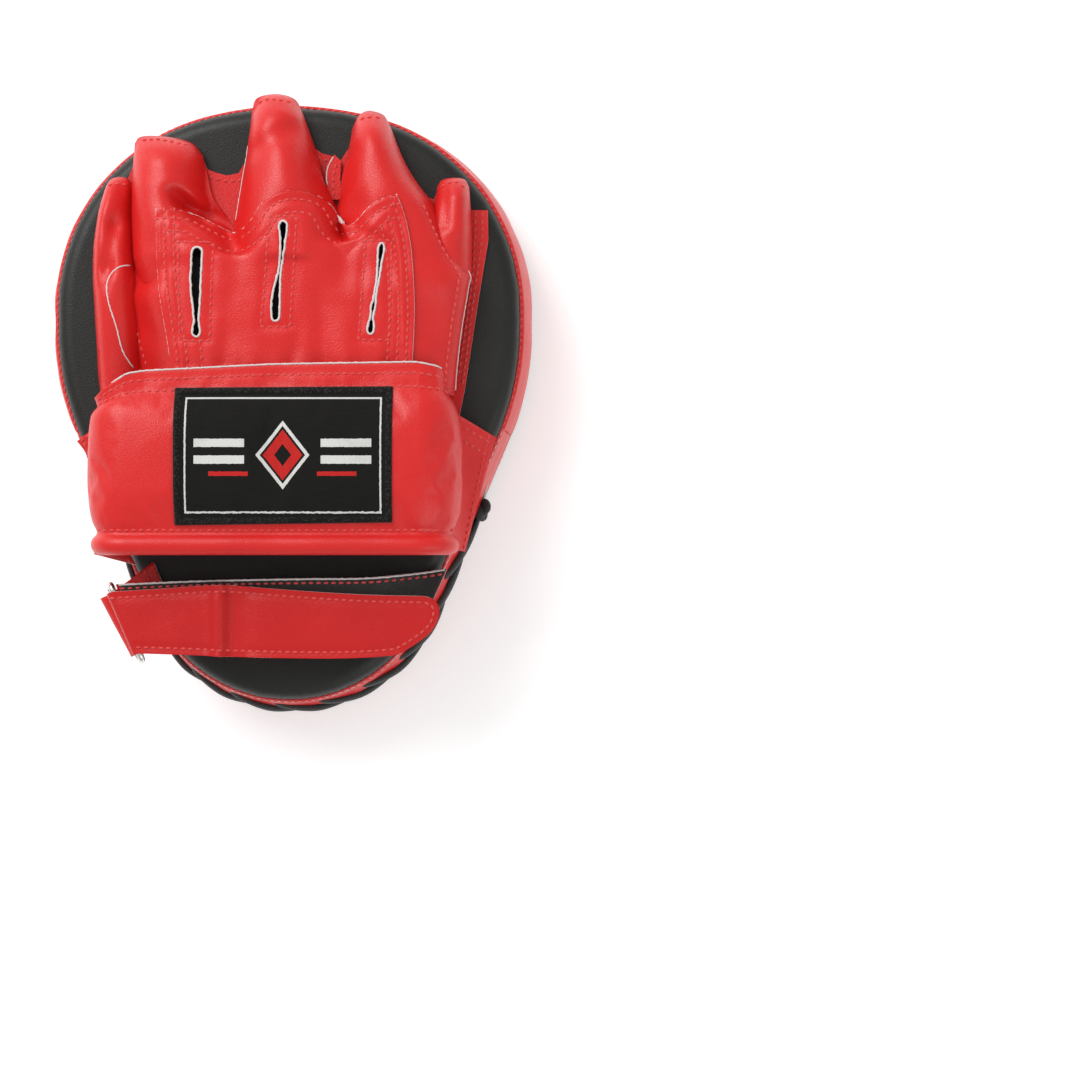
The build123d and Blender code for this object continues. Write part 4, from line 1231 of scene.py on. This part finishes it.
# ---------------------------------------------------------------- cuff
# The padded wrist cuff: red leather round foam, turned inside over a sewn roll at its
# lower edge and stitched down to the knuckle panel in two rows at its upper edge.
CUFF_CORNER = 17.0
CUFF_LEAN = 0.9
CUFF_FULLNESS = 2.0
CUFF_COLUMNS = 150
# The cuff's section from its upper edge to the roll: (y, how far it lies inside).
CUFF_FACE = [
    (-1.0, 6.6), (-3.4, 6.3), (-6.0, 6.5), (-8.5, 5.7), (-11.0, 5.8), (-13.2, 4.2), (-16, 2.4),
    (-20, 1.2), (-25, 0.5), (-31, 0.15), (-38, 0), (-46, 0), (-53, 0.1), (-59, 0.45), (-63.5, 1.1),
    (-66.6, 2.1), (-68.4, 3.2),
]
ROLL_CENTER = (-74.4, 5.0)
ROLL_RADIUS = 4.4
ROLL_ANGLES = (22, 45, 68, 90, 112, 135, 158, 180, 205, 232, 260)
CUFF_INSIDE = [(-73, 8.6), (-62, 8.2), (-46, 8.2), (-30, 8.2), (-15, 8.4), (-3, 8.2)]
CUFF_STITCH_Y = (-6.0, -11.0, -68.4)
# Where the upper edge runs at each share of the arch, from the left foot to the right.
CUFF_UPPER_EDGE = [(0.0, -15), (0.12, -13.4), (0.215, -3.6), (0.25, -2.4), (0.5, 0.4), (0.78, 1.4),
                   (0.86, -0.4), (0.93, -3), (1.0, -5)]
CUFF_FOLDS = [((62, -68), (60, -46), 6.5, 1.0), ((66, -60), (64, -24), 3.5, -0.8),
              ((52, -68), (50, -58), 3.0, 0.6), ((-68, -66), (-66, -48), 4.0, 0.5)]
# The cuff thins towards its feet, and follows its upper edge from this Y upwards.
CUFF_THINNING = ([0, 0.12, 0.25, 0.8, 1.0], [0.3, 0.3, 1.0, 1.0, 0.9])
CUFF_EDGE_FROM_Y, CUFF_EDGE_LENGTH = -22, 21
FOLD_FROM_Z, FOLD_RISE = 66, 14
CUFF_WAVER = 0.45
STITCH_HOLD = 1.2
CLOTH_FRAMES = 20
CLOTH_NATURE = {
    "quality": 6, "mass": 0.25, "tension_stiffness": 25, "compression_stiffness": 20,
    "bending_stiffness": 1.2, "use_pressure": True,
}

shell_low, shell_high = box_of("cuff_shell")
cuff_middle_x = (shell_low.x + shell_high.x) / 2 - CUFF_LEAN
cuff_half = (shell_high.x - shell_low.x) / 2 + CUFF_FULLNESS
cuff_height = shell_high.z - pad_top_z
cuff_arc = math.pi / 2 * CUFF_CORNER
cuff_wall_run = cuff_height - CUFF_CORNER
cuff_flat_run = 2 * (cuff_half - CUFF_CORNER)
cuff_run = 2 * cuff_wall_run + 2 * cuff_arc + cuff_flat_run


def cuff_arch(shares):
    """Places (x, z) along the cuff's arch and their outward directions."""
    places, outwards = [], []
    for run in np.atleast_1d(shares) * cuff_run:
        mirrored = run > cuff_run / 2
        run = min(run, cuff_run - run)
        if run < cuff_wall_run:
            place, outward = (-cuff_half, run), (-1.0, 0.0)
        elif run < cuff_wall_run + cuff_arc:
            angle = math.pi - (run - cuff_wall_run) / CUFF_CORNER
            outward = (math.cos(angle), math.sin(angle))
            place = (
                CUFF_CORNER - cuff_half + CUFF_CORNER * outward[0],
                cuff_wall_run + CUFF_CORNER * outward[1],
            )
        else:
            flat = run - cuff_wall_run - cuff_arc
            place, outward = (CUFF_CORNER - cuff_half + flat, cuff_height), (0.0, 1.0)
        side = -1 if mirrored else 1
        places.append((cuff_middle_x + side * place[0], pad_top_z + 0.15 + place[1]))
        outwards.append((side * outward[0], outward[1]))
    return np.array(places), np.array(outwards)


def cuff_rows(section, shares):
    """A grid on the cuff: one row for each (y, depth) of the section."""
    places, outwards = cuff_arch(shares)
    edge_shift = np.interp(shares, *np.array(CUFF_UPPER_EDGE).T) - CUFF_FACE[0][0]
    thin = np.interp(shares, *CUFF_THINNING)
    rows = []
    for y, depth in section:
        near_edge = np.clip((y - CUFF_EDGE_FROM_Y) / CUFF_EDGE_LENGTH, 0, 1)
        inward = depth * (1 + (thin - 1) * near_edge) if depth < 7 else depth
        column = places - outwards * np.broadcast_to(inward, len(shares))[:, None]
        rows.append(np.column_stack([column[:, 0], y + edge_shift * near_edge, column[:, 1]]))
    return np.array(rows)


def let_settle(piece, held, pressure, slack, cap):
    """Lets sewn fabric find its own shape as cloth, pinned where held says, within cap."""
    rest = np.array([vertex.co for vertex in piece.data.vertices])
    pins = piece.vertex_groups.new(name="sewn")
    for index, weight in enumerate(held):
        if weight > 0:
            pins.add([index], float(weight), "REPLACE")
    cloth = piece.modifiers.new("settle", "CLOTH")
    for setting, value in CLOTH_NATURE.items():
        setattr(cloth.settings, setting, value)
    cloth.settings.uniform_pressure_force = pressure
    cloth.settings.shrink_min = -slack
    cloth.settings.effector_weights.gravity = 0.0
    cloth.settings.vertex_group_mass = pins.name
    cloth.collision_settings.use_collision = False
    for number in range(1, CLOTH_FRAMES + 1):
        scene.frame_set(number)
    settled = piece.evaluated_get(bpy.context.evaluated_depsgraph_get()).to_mesh()
    moved = np.array([vertex.co for vertex in settled.vertices]) - rest
    piece.modifiers.clear()
    scene.frame_set(1)
    reach = np.linalg.norm(moved, axis=1, keepdims=True)
    moved *= np.minimum(1, cap / 1000 / np.maximum(reach, 1e-9))
    piece.data.vertices.foreach_set("co", (rest + moved).ravel())
    piece.data.update()
    piece.vertex_groups.clear()


roll_turns = np.radians(ROLL_ANGLES)[:, None]
roll = ROLL_CENTER + ROLL_RADIUS * np.hstack([np.cos(roll_turns), -np.sin(roll_turns)])
cuff_face = even_line(CUFF_FACE, 2.2)
face_rows = len(cuff_face)
cuff_section = np.vstack([cuff_face, roll, CUFF_INSIDE])
cuff_shares = np.linspace(0, 1, CUFF_COLUMNS)
cuff_grid = cuff_rows(cuff_section, cuff_shares)
on_top = np.clip((cuff_grid[..., 2] - FOLD_FROM_Z) / FOLD_RISE, 0, 1)
cuff_grid[..., 2] -= creased(cuff_grid[..., 0], cuff_grid[..., 1], CUFF_FOLDS, fade=0.8) * on_top
waver = CUFF_WAVER * ripple(cuff_shares * cuff_run, cuff_shares * 0, 19.0, 4.0)
cuff_grid[: face_rows + 6, :, 2] += waver
cuff_faces = grid_faces(len(cuff_section), CUFF_COLUMNS, wrap_rows=True)
cuff_faces.append(tuple(i * CUFF_COLUMNS for i in range(len(cuff_section))))
cuff_faces.append(tuple((i + 1) * CUFF_COLUMNS - 1 for i in range(len(cuff_section)))[::-1])
cuff = make_piece("padded_cuff", cuff_grid.reshape(-1, 3), cuff_faces, red_leather)
if cuff.data.polygons[face_rows // 2 * (CUFF_COLUMNS - 1) + CUFF_COLUMNS // 2].normal.z < 0:
    cuff.data.flip_normals()
sewn = np.zeros((len(cuff_section), CUFF_COLUMNS))
for stitch_y in CUFF_STITCH_Y:
    sewn[:face_rows][np.abs(cuff_face[:, 0] - stitch_y) < STITCH_HOLD] = 1
sewn[0] = 1
sewn[face_rows:] = 1
sewn[:, :2], sewn[:, -2:] = 1, 1
let_settle(cuff, sewn.ravel(), pressure=2.0, slack=0.008, cap=1.4)
smoother = cuff.modifiers.new("smooth", "SUBSURF")
smoother.levels = smoother.render_levels = 1
settle(cuff)
fasten(cuff, "red_leather", "cuff_shell", "cuff_padding", "cuff_edge_roll")

cuff_surface = Surface(cuff)
upper_shares = np.linspace(0.13, 0.9, 60)
face_y, face_depth = np.transpose(CUFF_FACE)
stitch_section = [(y, np.interp(-y, -face_y, face_depth)) for y in CUFF_STITCH_Y]
cuff_lines = cuff_rows(stitch_section, upper_shares)[..., :2]
cuff_rim = cuff_rows([(-2.0, 6.5)], upper_shares[2:-2])[0][:, :2]
sew_rows("cuff_stitches", cuff_surface, cuff_lines, rounded=False)
raw_edge("cuff_raw_edge", cuff_surface, cuff_rim, rounded=False, lift=0.2, girth=0.36)

# ---------------------------------------------------------------- cuff lining
# Smooth red lining on the inside of the cuff, where the wrist lies.
LINING_DEPTH = 8.9
LINING_THICKNESS = 0.8
LINING_RED, LINING_SHADE = (0.42, 0.010, 0.011, 1), (0.30, 0.007, 0.008, 1)

red_lining = coated_leather("red_lining", LINING_RED, LINING_SHADE, gloss=0.45)
lining_section = [(y, LINING_DEPTH) for y in np.linspace(-76, -3, 16)]
lining_grid = cuff_rows(lining_section, np.linspace(0, 1, 80)).transpose(2, 0, 1)
lining = sheet_of("cuff_lining_cloth", *lining_grid, red_lining, LINING_THICKNESS)
fasten(lining, "red_lining", "cuff_lining")

# ---------------------------------------------------------------- cuff label
# A woven black patch with an overlocked rim and a pale border line. Its motif is a plain
# red diamond between pale bars, and it carries no lettering.
LABEL_CORNERS = [(-42.6, -66.6), (46.0, -65.4), (46.0, -9.8), (-42.9, -10.4)]
LABEL_WIDTH, LABEL_LENGTH = 88.6, 56.0
LABEL_LIFT = 0.5
LABEL_THICKNESS = 0.8
LABEL_WAVER = 0.12
OVERLOCK_WIDTH = 2.6
OVERLOCK_HEIGHT = 1.5
OVERLOCK_PITCH = 1.3
LINE_INSET = 4.3
LINE_WIDTH = 0.75
DIAMOND = (11.0, 14.0)
# Bars: from and to in X, their place in Y, and their half width.
PALE_BARS = (15.5, 36.0, 3.4, 1.7)
RED_BAR = (14.0, 30.0, -7.6, 0.9)

woven_label = Finish("woven_label", Roughness=0.85, Sheen_Weight=0.06, Specular_IOR_Level=0.2)
label_place = woven_label.place()
label_across = woven_label.along(label_place, 0)
label_along = woven_label.along(label_place, 1)
low_x, high_x = LABEL_CORNERS[0][0], LABEL_CORNERS[1][0]
low_y, high_y = LABEL_CORNERS[0][1] + 0.6, LABEL_CORNERS[2][1] - 0.3
label_half_x, label_half_y = (high_x - low_x) / 2, (high_y - low_y) / 2
frayed = woven_label.cloud(label_place, 0.0016, 2.0) * 0.5
from_middle_x = abs(label_across - (low_x + high_x) / 2)
rise_from_middle = label_along - (low_y + high_y) / 2 + frayed - 0.25
from_middle_y = abs(rise_from_middle)
rim_x, rim_y = label_half_x - from_middle_x, label_half_y - from_middle_y
rim_distance = rim_x.math("MINIMUM", rim_x, rim_y) + frayed - 0.25
border_line = (rim_distance > LINE_INSET) * (rim_distance < LINE_INSET + LINE_WIDTH)
diamond_reach = from_middle_x / DIAMOND[0] + from_middle_y / DIAMOND[1]
diamond_line = (diamond_reach > 0.84) * (diamond_reach < 1.0)
diamond_heart = (diamond_reach > 0.32) * (diamond_reach < 0.74)
bar_span = (from_middle_x > PALE_BARS[0]) * (from_middle_x < PALE_BARS[1])
pale_bar = bar_span * (abs(abs(rise_from_middle - 1.5) - PALE_BARS[2]) < PALE_BARS[3])
red_span = (from_middle_x > RED_BAR[0]) * (from_middle_x < RED_BAR[1])
red_bar = red_span * (abs(rise_from_middle - RED_BAR[2]) < RED_BAR[3])
threads = woven_label.cells(label_place, 1500.0, 0.2)
black_weave = woven_label.mix(threads, (0.0080, 0.0075, 0.0065, 1), (0.003, 0.003, 0.0025, 1))
pale_weave = woven_label.mix(threads, (0.78, 0.78, 0.75, 1), (0.45, 0.45, 0.43, 1))
red_weave = woven_label.mix(threads, (0.62, 0.022, 0.018, 1), (0.36, 0.012, 0.010, 1))
rim_thread = woven_label.cloud(label_place, 0.0009, 1.0)
rim_speckle = (rim_thread > 0.56) * (rim_distance < OVERLOCK_WIDTH)
rim_weave = woven_label.mix(rim_speckle, black_weave, (0.024, 0.023, 0.021, 1))
label_colour = woven_label.mix(border_line + diamond_line + pale_bar, rim_weave, pale_weave)
woven_label.feed(Base_Color=woven_label.mix(diamond_heart + red_bar, label_colour, red_weave))
raised = border_line + diamond_line + pale_bar + diamond_heart + red_bar
woven_label.relief((1 - threads) * 0.5 + raised * 0.4, 0.0003, 0.7)

u, v = np.meshgrid(np.linspace(0, 1, 150), np.linspace(0, 1, 96))
lower_left, lower_right, upper_right, upper_left = LABEL_CORNERS
label_x, label_y = (
    (1 - v) * ((1 - u) * lower_left[k] + u * lower_right[k])
    + v * ((1 - u) * upper_left[k] + u * upper_right[k])
    for k in (0, 1)
)
rim_beside = np.minimum(u, 1 - u) * LABEL_WIDTH
rim_ahead = np.minimum(v, 1 - v) * LABEL_LENGTH
rim_in = np.minimum(rim_beside, rim_ahead)
beside = np.where(rim_beside < rim_ahead, label_y, label_x)
overlock = np.sqrt(np.clip(1 - ((rim_in - OVERLOCK_WIDTH / 2) / (OVERLOCK_WIDTH / 2)) ** 2, 0, 1))
ribs = 0.72 + 0.28 * np.cos(beside * 2 * np.pi / OVERLOCK_PITCH)
label_z = draped(cuff_surface, label_x, label_y, LABEL_LIFT, 84.0, rounds=10)
label_z += OVERLOCK_HEIGHT * overlock * ribs + LABEL_WAVER * ripple(label_x, label_y, 14.0, 1.0)
label = sheet_of(
    "cuff_label_patch", label_x, label_y, label_z, woven_label, LABEL_THICKNESS, raw_edge=False
)
fasten(label, "label", "cuff_label")

# ---------------------------------------------------------------- cuff gussets
# Soft red triangles that close the cuff's sides down to the pad's edge. The right one is
# the larger, with a doubled seam along its top and a single one along the pad. Each has
# its side on the cuff, its side on the pad, and its height at both ends.
GUSSET_ROWS, GUSSET_COLUMNS = 30, 14
GUSSET_WAVER = 0.5
GUSSET_FOOT = 1.0
GUSSET_RIGHT = ([(68.0, -18), (69.0, -38), (69.5, -58), (69.5, -76)],
                [(87.8, -29.6), (85.2, -37.6), (80.2, -56), (74.6, -77.5)], (66.0, 60.5))
GUSSET_LEFT = ([(-75.0, -22), (-75.4, -30), (-75.8, -38), (-76.0, -46)],
               [(-88.4, -31.0), (-85.0, -35.5), (-83.4, -39.5), (-81.4, -45)], (60.0, 56.0))
SIDE_LINING = ([(-76.0, -44), (-76.5, -58), (-77.5, -70), (-80.0, -78.5)],
               [(-80.5, -44), (-77.0, -57), (-71.5, -69), (-63.5, -83.0)], (58.0, 57.0))


def gusset(name, cuff_side, pad_side, heights, *nodes):
    share = np.linspace(0, 1, GUSSET_ROWS)
    near, far = spread_line(cuff_side, share)[:, None], spread_line(pad_side, share)[:, None]
    out = np.linspace(0, 1, GUSSET_COLUMNS)
    plan = near * (1 - out[None, :, None]) + far * out[None, :, None]
    top = np.interp(share, [0, 1], heights)[:, None]
    fall = out[None] ** 0.75
    z = top * (1 - fall) + (pad_top_z + GUSSET_FOOT) * fall
    z = z + GUSSET_WAVER * ripple(plan[..., 0], plan[..., 1], 8.0, 3.0) * np.sin(np.pi * out[None])
    piece = sheet_of(name, plan[..., 0], plan[..., 1], z, red_leather, SLEEVE_THICKNESS)
    rows = [plan[1:-1, 11], plan[2, 1:12], plan[5, 1:12]]
    sew_rows(name + "_stitches", Surface(piece), rows, rounded=False)
    fasten(piece, "red_leather", *nodes)


gusset("right_gusset_leather", *GUSSET_RIGHT, "cuff_gusset_right")
gusset("left_gusset_leather", *GUSSET_LEFT, "cuff_gusset_left")
gusset("cuff_side_lining", *SIDE_LINING)

# ---------------------------------------------------------------- strap ring and foam
# A ring of bent nickel-plated wire stands at the pad's left edge. Inside the pad are
# three layers of dark closed-cell foam, which show only between the lacing bands.
nickel = Finish("nickel_plate", Metallic=1.0, Roughness=0.24)
plate_haze = nickel.cloud(nickel.place(), 0.004, 4.0)
nickel.feed(
    Base_Color=nickel.mix(plate_haze, (0.62, 0.60, 0.57, 1), (0.80, 0.79, 0.77, 1)),
    Roughness=0.16 + plate_haze * 0.2,
)
nickel.relief(nickel.cloud(nickel.place(), 0.0012, 3.0), 0.0001, 0.3)


def coat_node(name, finish):
    """Gives a CAD node its finish."""
    mesh = frame["nodes"][name].data
    mesh.materials.clear()
    mesh.materials.append(finish.material)
    return mesh


ring_mesh = coat_node("strap_ring", nickel)
ring_mesh.polygons.foreach_set("use_smooth", [True] * len(ring_mesh.polygons))

foam = Finish("closed_cell_foam", Roughness=0.95)
cells = foam.cells(foam.place(), 900.0)
foam.feed(Base_Color=foam.mix(cells, (0.035, 0.035, 0.034, 1), (0.012, 0.012, 0.012, 1)))
foam.relief(cells, 0.0004, 0.7)
for foam_node in ("impact_foam", "core_foam", "backing_foam"):
    coat_node(foam_node, foam)

# ---------------------------------------------------------------- ring tab
# A doubled tab of red leather that holds the ring's lower bar in its fold. It widens
# towards the pad, where it is sewn down, with a cross row close behind the bar.
TAB_HALF_WIDTHS = (13.8, 19.5)
TAB_REACH = 21.0
TAB_SLACK = 2.6
TAB_STITCH_ROWS = (8.5, 16.5)
TAB_STITCH_INSET = 1.5
TAB_THICKNESS = 1.2
WRAP_RADIUS = 2.85
STRAP_THICKNESS = 1.3

joint_places = {joint["name"]: joint for joint in frame["joints"]}
lower_bar = np.array(joint_places["ring_swing"]["pos_m"]) * 1000
upper_bar = np.array(joint_places["strap_flap_peel"]["pos_m"]) * 1000
bar_along = np.array(joint_places["ring_swing"]["axis"])
inboard = np.array([-bar_along[1], bar_along[0], 0.0])


def round_bar(turns, radius):
    """Steps (inboard, up) round a bar at the given angles; 180 degrees is outboard."""
    return [(radius * math.cos(turn), radius * math.sin(turn)) for turn in np.radians(turns)]


tab_lower = pad_top_z + 0.5 - lower_bar[2]
tab_path = [(TAB_REACH, tab_lower), (12, tab_lower), (6, tab_lower - 0.05)]
tab_path += round_bar(range(262, 80, -13), WRAP_RADIUS)
tab_path += [(3.5, WRAP_RADIUS - 0.3), (6.5, WRAP_RADIUS - 1.2), (9, 0.6), (12, 0.1)]
tab_path += [(TAB_REACH, -0.2)]
tab_path = even_line(tab_path, 0.9)
tab_across = np.linspace(-1, 1, 26)
tab_points = []
for reach, rise in tab_path:
    half = np.interp(reach, [0, TAB_REACH], TAB_HALF_WIDTHS)
    row = lower_bar + inboard * reach + tab_across[:, None] * half * bar_along
    slack = TAB_SLACK * np.clip(-reach / WRAP_RADIUS, 0, 1) * (1 - tab_across) / 2
    row -= slack[:, None] * inboard
    row[:, 2] += rise + 0.25 * ripple(tab_across * 14, tab_across * 0 + reach, 7.0, 2.0)
    tab_points.append(row)
tab = sheet_of(
    "ring_tab_leather", *np.array(tab_points).transpose(2, 0, 1), red_leather, TAB_THICKNESS
)
tab_rows = []
for reach in TAB_STITCH_ROWS:
    half = np.interp(reach, [0, TAB_REACH], TAB_HALF_WIDTHS) - TAB_STITCH_INSET
    middle = lower_bar + inboard * reach
    tab_rows.append([(middle + side * half * bar_along)[:2] for side in (-1, 1)])
sew_rows("ring_tab_stitches", Surface(tab), tab_rows, rounded=False)
fasten(tab, "red_leather", "ring_tab")

# ---------------------------------------------------------------- strap, fixed run
# Red leather that crosses the pad from the seam at its right edge to the ring, faced
# with a black loop strip whose upper edge is cut raw and sewn in red.
UNDER_TOP = [(-70.0, -90.9), (-35, -89.4), (5.8, -88.5), (33, -88.2), (53.3, -86.5),
             (67.0, -84.6)]
UNDER_LOW = [(-59.8, -118.4), (-30, -117.2), (5.8, -116.0), (33, -115.0), (45, -114.2),
             (54.0, -113.6)]
LOOP_LIFT = 1.3
LOOP_THICKNESS = 1.2
UNDER_SAG = 0.8
SLOPE_START, SLOPE_END = 68.0, 90.0
strap_level = upper_bar[2] - WRAP_RADIUS + STRAP_THICKNESS

hook_loop = Finish("hook_and_loop", Roughness=0.92, Sheen_Weight=0.35)
pile = hook_loop.cloud(hook_loop.place(flat=True), 0.0009, 4.0, 0.75)
hook_loop.feed(Base_Color=hook_loop.mix(pile, (0.008, 0.008, 0.008, 1), (0.034, 0.033, 0.031, 1)))
hook_loop.relief(pile, 0.0009, 0.9)
STRAP_RED, STRAP_SHADE = (0.60, 0.0120, 0.0115, 1), (0.48, 0.0080, 0.0085, 1)
strap_leather = coated_leather(
    "strap_leather", STRAP_RED, STRAP_SHADE, gloss=0.60, shine=0.30, flat=True
)


def lay_flat(piece):
    """Gives a strap piece flat coordinates in metres, taken from where its points lie in plan."""
    layer = piece.data.uv_layers.new(name="flat_cut")
    for loop in piece.data.loops:
        place = piece.data.vertices[loop.vertex_index].co
        layer.data[loop.index].uv = (place.x, place.y)


def strap_place_z(x, y):
    out = math.cos(taper) * x - math.sin(taper) * y
    slope = ease((out - SLOPE_START) / (SLOPE_END - SLOPE_START))
    foot = pad_top_z + 0.3 + STRAP_THICKNESS
    sag = UNDER_SAG * np.clip(1 - ((x + 5) / 60) ** 2, 0, 1)
    return strap_level - sag + (foot - strap_level) * slope


x, y = coons_plan(UNDER_TOP, UNDER_LOW, [UNDER_TOP[-1], UNDER_LOW[-1]], rows=90, columns=18)
z = strap_place_z(x, y) + 0.3 * ripple(x, y, 18.0, 12.0)
under_strap = sheet_of("fixed_strap", x, y, z, strap_leather, STRAP_THICKNESS)
loop_strip = sheet_of("loop_strip", x[1:], y[1:], z[1:] + LOOP_LIFT, hook_loop, LOOP_THICKNESS)
loop_surface = Surface(loop_strip)
stitch_line, rim_line = (np.array(UNDER_TOP) - [0, inset] for inset in (1.9, 0.25))
loop_stitches = sew("loop_strip_stitches", stitch_spots(loop_surface, stitch_line))
loop_edge = raw_edge("loop_strip_raw_edge", loop_surface, rim_line, owner=None, girth=0.42)
for piece in (under_strap, loop_strip, loop_stitches, loop_edge):
    lay_flat(piece)
    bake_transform(piece)
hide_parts("strap_under")
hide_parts("strap_loop_strip")

# ---------------------------------------------------------------- strap flap
# The strap turns back round the ring's upper bar and lies over the fixed run. It has a
# rounded end, a stitched edge and a bump where the hook patch is sewn inside.
FLAP_TOP = [(-70.8, -93.9), (-50, -92.6), (-26.4, -91.2), (-7.5, -92.4), (14, -94.0), (36, -95.2),
            (58, -95.7)]
FLAP_LOW = [(-59.9, -119.4), (-40, -120.0), (-21, -120.8), (0, -121.3), (20, -121.5), (36, -121.0),
            (47, -120.1)]
FLAP_END = [(58, -95.7), (62, -97.0), (64.4, -100.5), (63.9, -105.9), (60.3, -111.3),
            (53.4, -116.4), (47, -120.1)]
FLAP_STITCH_INSET = 2.6
FLAP_WAVER = 0.5
FLAP_DROOP, DROOP_FROM_X, DROOP_LENGTH = 0.9, 30, 34
FLAP_CLEARANCE = 3.2
BUMP_X, BUMP_WIDTH, BUMP_HEIGHT = -26.5, 3.2, 3.2
DIP_X, DIP_WIDTH, DIP_DEPTH = -18.5, 4.5, 1.9
HOOK_ROWS, HOOK_COLUMNS = slice(66, 96), slice(3, -3)
HOOK_THICKNESS = 1.0
FLAP_ROWS, FLAP_COLUMNS = 100, 30

x, y = coons_plan(FLAP_TOP, FLAP_LOW, FLAP_END, FLAP_ROWS, FLAP_COLUMNS)
near_ring = np.clip((x + 64) / 14, 0, 1)
bump = BUMP_HEIGHT * np.exp(-(((x - BUMP_X) / BUMP_WIDTH) ** 2))
bump -= DIP_DEPTH * np.exp(-(((x - DIP_X) / DIP_WIDTH) ** 2))
droop = FLAP_DROOP * np.clip((x - DROOP_FROM_X) / DROOP_LENGTH, 0, 1) ** 2
waver = FLAP_WAVER * ripple(x, y, 19.0, 9.0)
z = upper_bar[2] + WRAP_RADIUS + near_ring * (bump + waver - droop)
top_row = inside_line(FLAP_TOP, FLAP_STITCH_INSET)
low_row = inside_line(FLAP_LOW, -FLAP_STITCH_INSET)
end_row = inside_line(FLAP_END, FLAP_STITCH_INSET)
z = z - pressed(x, y, [top_row, low_row], 0.4)
z = np.maximum(z, strap_level + FLAP_CLEARANCE)
flap_grid = np.stack([x, y, z], -1)
fold_rows = [(3.4, -WRAP_RADIUS + 0.1), (1.7, -WRAP_RADIUS)]
fold_rows += round_bar(range(270, 95, -15), WRAP_RADIUS)
fold_grid = []
for reach, rise in fold_rows:
    row = flap_grid[0] + inboard * reach
    row[:, 2] = upper_bar[2] + rise
    fold_grid.append(row)
whole = np.vstack([fold_grid, flap_grid]).transpose(2, 0, 1)
flap = sheet_of("strap_flap_leather", *whole, strap_leather, STRAP_THICKNESS)
if flap.data.polygons[len(flap.data.polygons) // 4].normal.z < 0:
    flap.data.flip_normals()
flap_surface = Surface(flap)
edge_rows = [top_row[:-1], low_row[:-1], end_row[1:-1]]
edge_spots = [spot for row in edge_rows for spot in stitch_spots(flap_surface, row)]
flap_stitches = sew("strap_flap_stitches", edge_spots)
patch_x, patch_y, patch_z = flap_grid[HOOK_ROWS, HOOK_COLUMNS].transpose(2, 0, 1)
patch_z = patch_z - STRAP_THICKNESS - 0.1
hook_patch = sheet_of(
    "hook_patch_tape", patch_x, patch_y, patch_z, hook_loop, HOOK_THICKNESS, raw_edge=False
)
for piece in (flap, flap_stitches, hook_patch):
    lay_flat(piece)
    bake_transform(piece)
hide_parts("strap_flap", "strap_turn")
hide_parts("strap_hook_patch")
